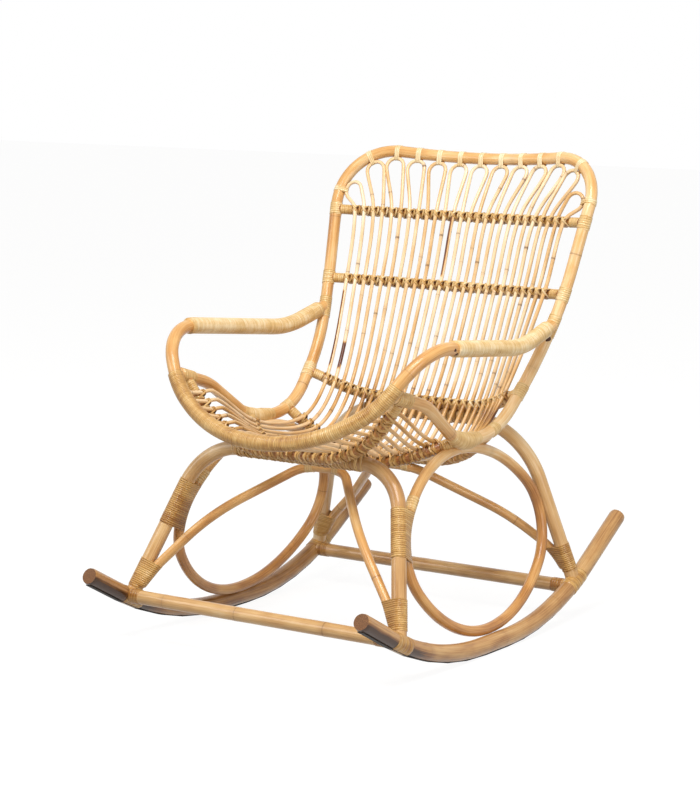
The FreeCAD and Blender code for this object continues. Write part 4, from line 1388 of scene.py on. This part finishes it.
# A dark dome of painted shade, in the hollow under the arm's joint with the post.
knot("left_post_painted_shade", back_frame, arm_joint - POST_SHADE_DROP, frame_radius, UNDER_ARM, POST_SHADE_DOME)

# Camera, floor and light

VIEW_FROM = Vector((2.6627, -3.8176, 1.1743))
VIEW_AT = Vector((0, -0.015, 0.439))
LIGHT_AT = Vector((0, 0, 0.45))
FOCAL_PIXELS = 2535
PICTURE_HEIGHT = 800
SENSOR = 36
# The camera sees the floor's glow at 0.9 of white, and the light on the floor adds the rest
FLOOR_GLOW = 1.5
GLOW_SHARE = 0.6
WORLD_LIGHT = 0.31

lens = bpy.data.cameras.new("photo_view")
lens.sensor_fit = "VERTICAL"
lens.sensor_height = SENSOR
lens.lens = FOCAL_PIXELS * SENSOR / PICTURE_HEIGHT
camera = bpy.data.objects.new("photo_view", lens)
camera.location = VIEW_FROM
camera.rotation_euler = (VIEW_AT - VIEW_FROM).to_track_quat("-Z", "Y").to_euler()
bpy.context.scene.collection.objects.link(camera)
bpy.context.scene.camera = camera


def seen_directly(tree):
    """1 for what the camera sees, also in gloss and through glass, and 0 for light on the chair."""
    path = add(tree, "LightPath").outputs
    seen = path["Is Camera Ray"]
    for ray in ("Is Glossy Ray", "Is Transmission Ray"):
        seen = add(tree, "Math", {"operation": "MAXIMUM"}, {0: seen, 1: path[ray]}).outputs[0]
    return seen


def floor_shading():
    """A white studio floor that keeps a faint shadow of the chair."""
    made, tree, shader = shading("white_floor")
    feed(tree, shader, {"Base Color": linear("#a5a4a2"), "Roughness": 0.9})
    glow = add(tree, "Emission", None, {"Color": (1, 1, 1, 1), "Strength": FLOOR_GLOW})
    share = add(tree, "Math", {"operation": "MULTIPLY"}, {0: seen_directly(tree), 1: GLOW_SHARE})
    blend = add(tree, "MixShader", None, {
        0: share.outputs[0], 1: shader.outputs[0], 2: glow.outputs[0],
    })
    feed(tree, tree.nodes["Material Output"], {"Surface": blend.outputs[0]})
    return made


bpy.ops.object.select_all(action="DESELECT")
bpy.ops.mesh.primitive_plane_add(size=24)
floor = bpy.context.object
floor.name = "studio_floor"
floor.data.materials.append(floor_shading())

world = bpy.data.worlds.new("studio")
world.use_nodes = True
bpy.context.scene.world = world
tree = world.node_tree
strength = add(tree, "MapRange", None, {
    "Value": seen_directly(tree), "To Min": WORLD_LIGHT, "To Max": 1.0,
})
feed(tree, tree.nodes["Background"], {"Color": (1, 1, 1, 1), "Strength": strength.outputs[0]})


def soft_light(name, place, power, width):
    lamp = bpy.data.lights.new(name, "AREA")
    lamp.energy = power
    lamp.size = width
    light = bpy.data.objects.new(name, lamp)
    light.location = place
    light.rotation_euler = (LIGHT_AT - Vector(place)).to_track_quat("-Z", "Y").to_euler()
    bpy.context.scene.collection.objects.link(light)


soft_light("key_light", (1.0, -1.6, 3.7), 138, 1.8)
soft_light("fill_light", (-2.4, -2.8, 2.2), 42, 1.6)
soft_light("side_light", (3.0, -0.9, 0.9), 30, 1.4)

for name in ("left_rocker_wear_strip", "right_rocker_wear_strip"):
    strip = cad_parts[name]
    strip.data.materials.clear()
    strip.data.materials.append(rubber)

bpy.context.scene.view_settings.view_transform = "Standard"
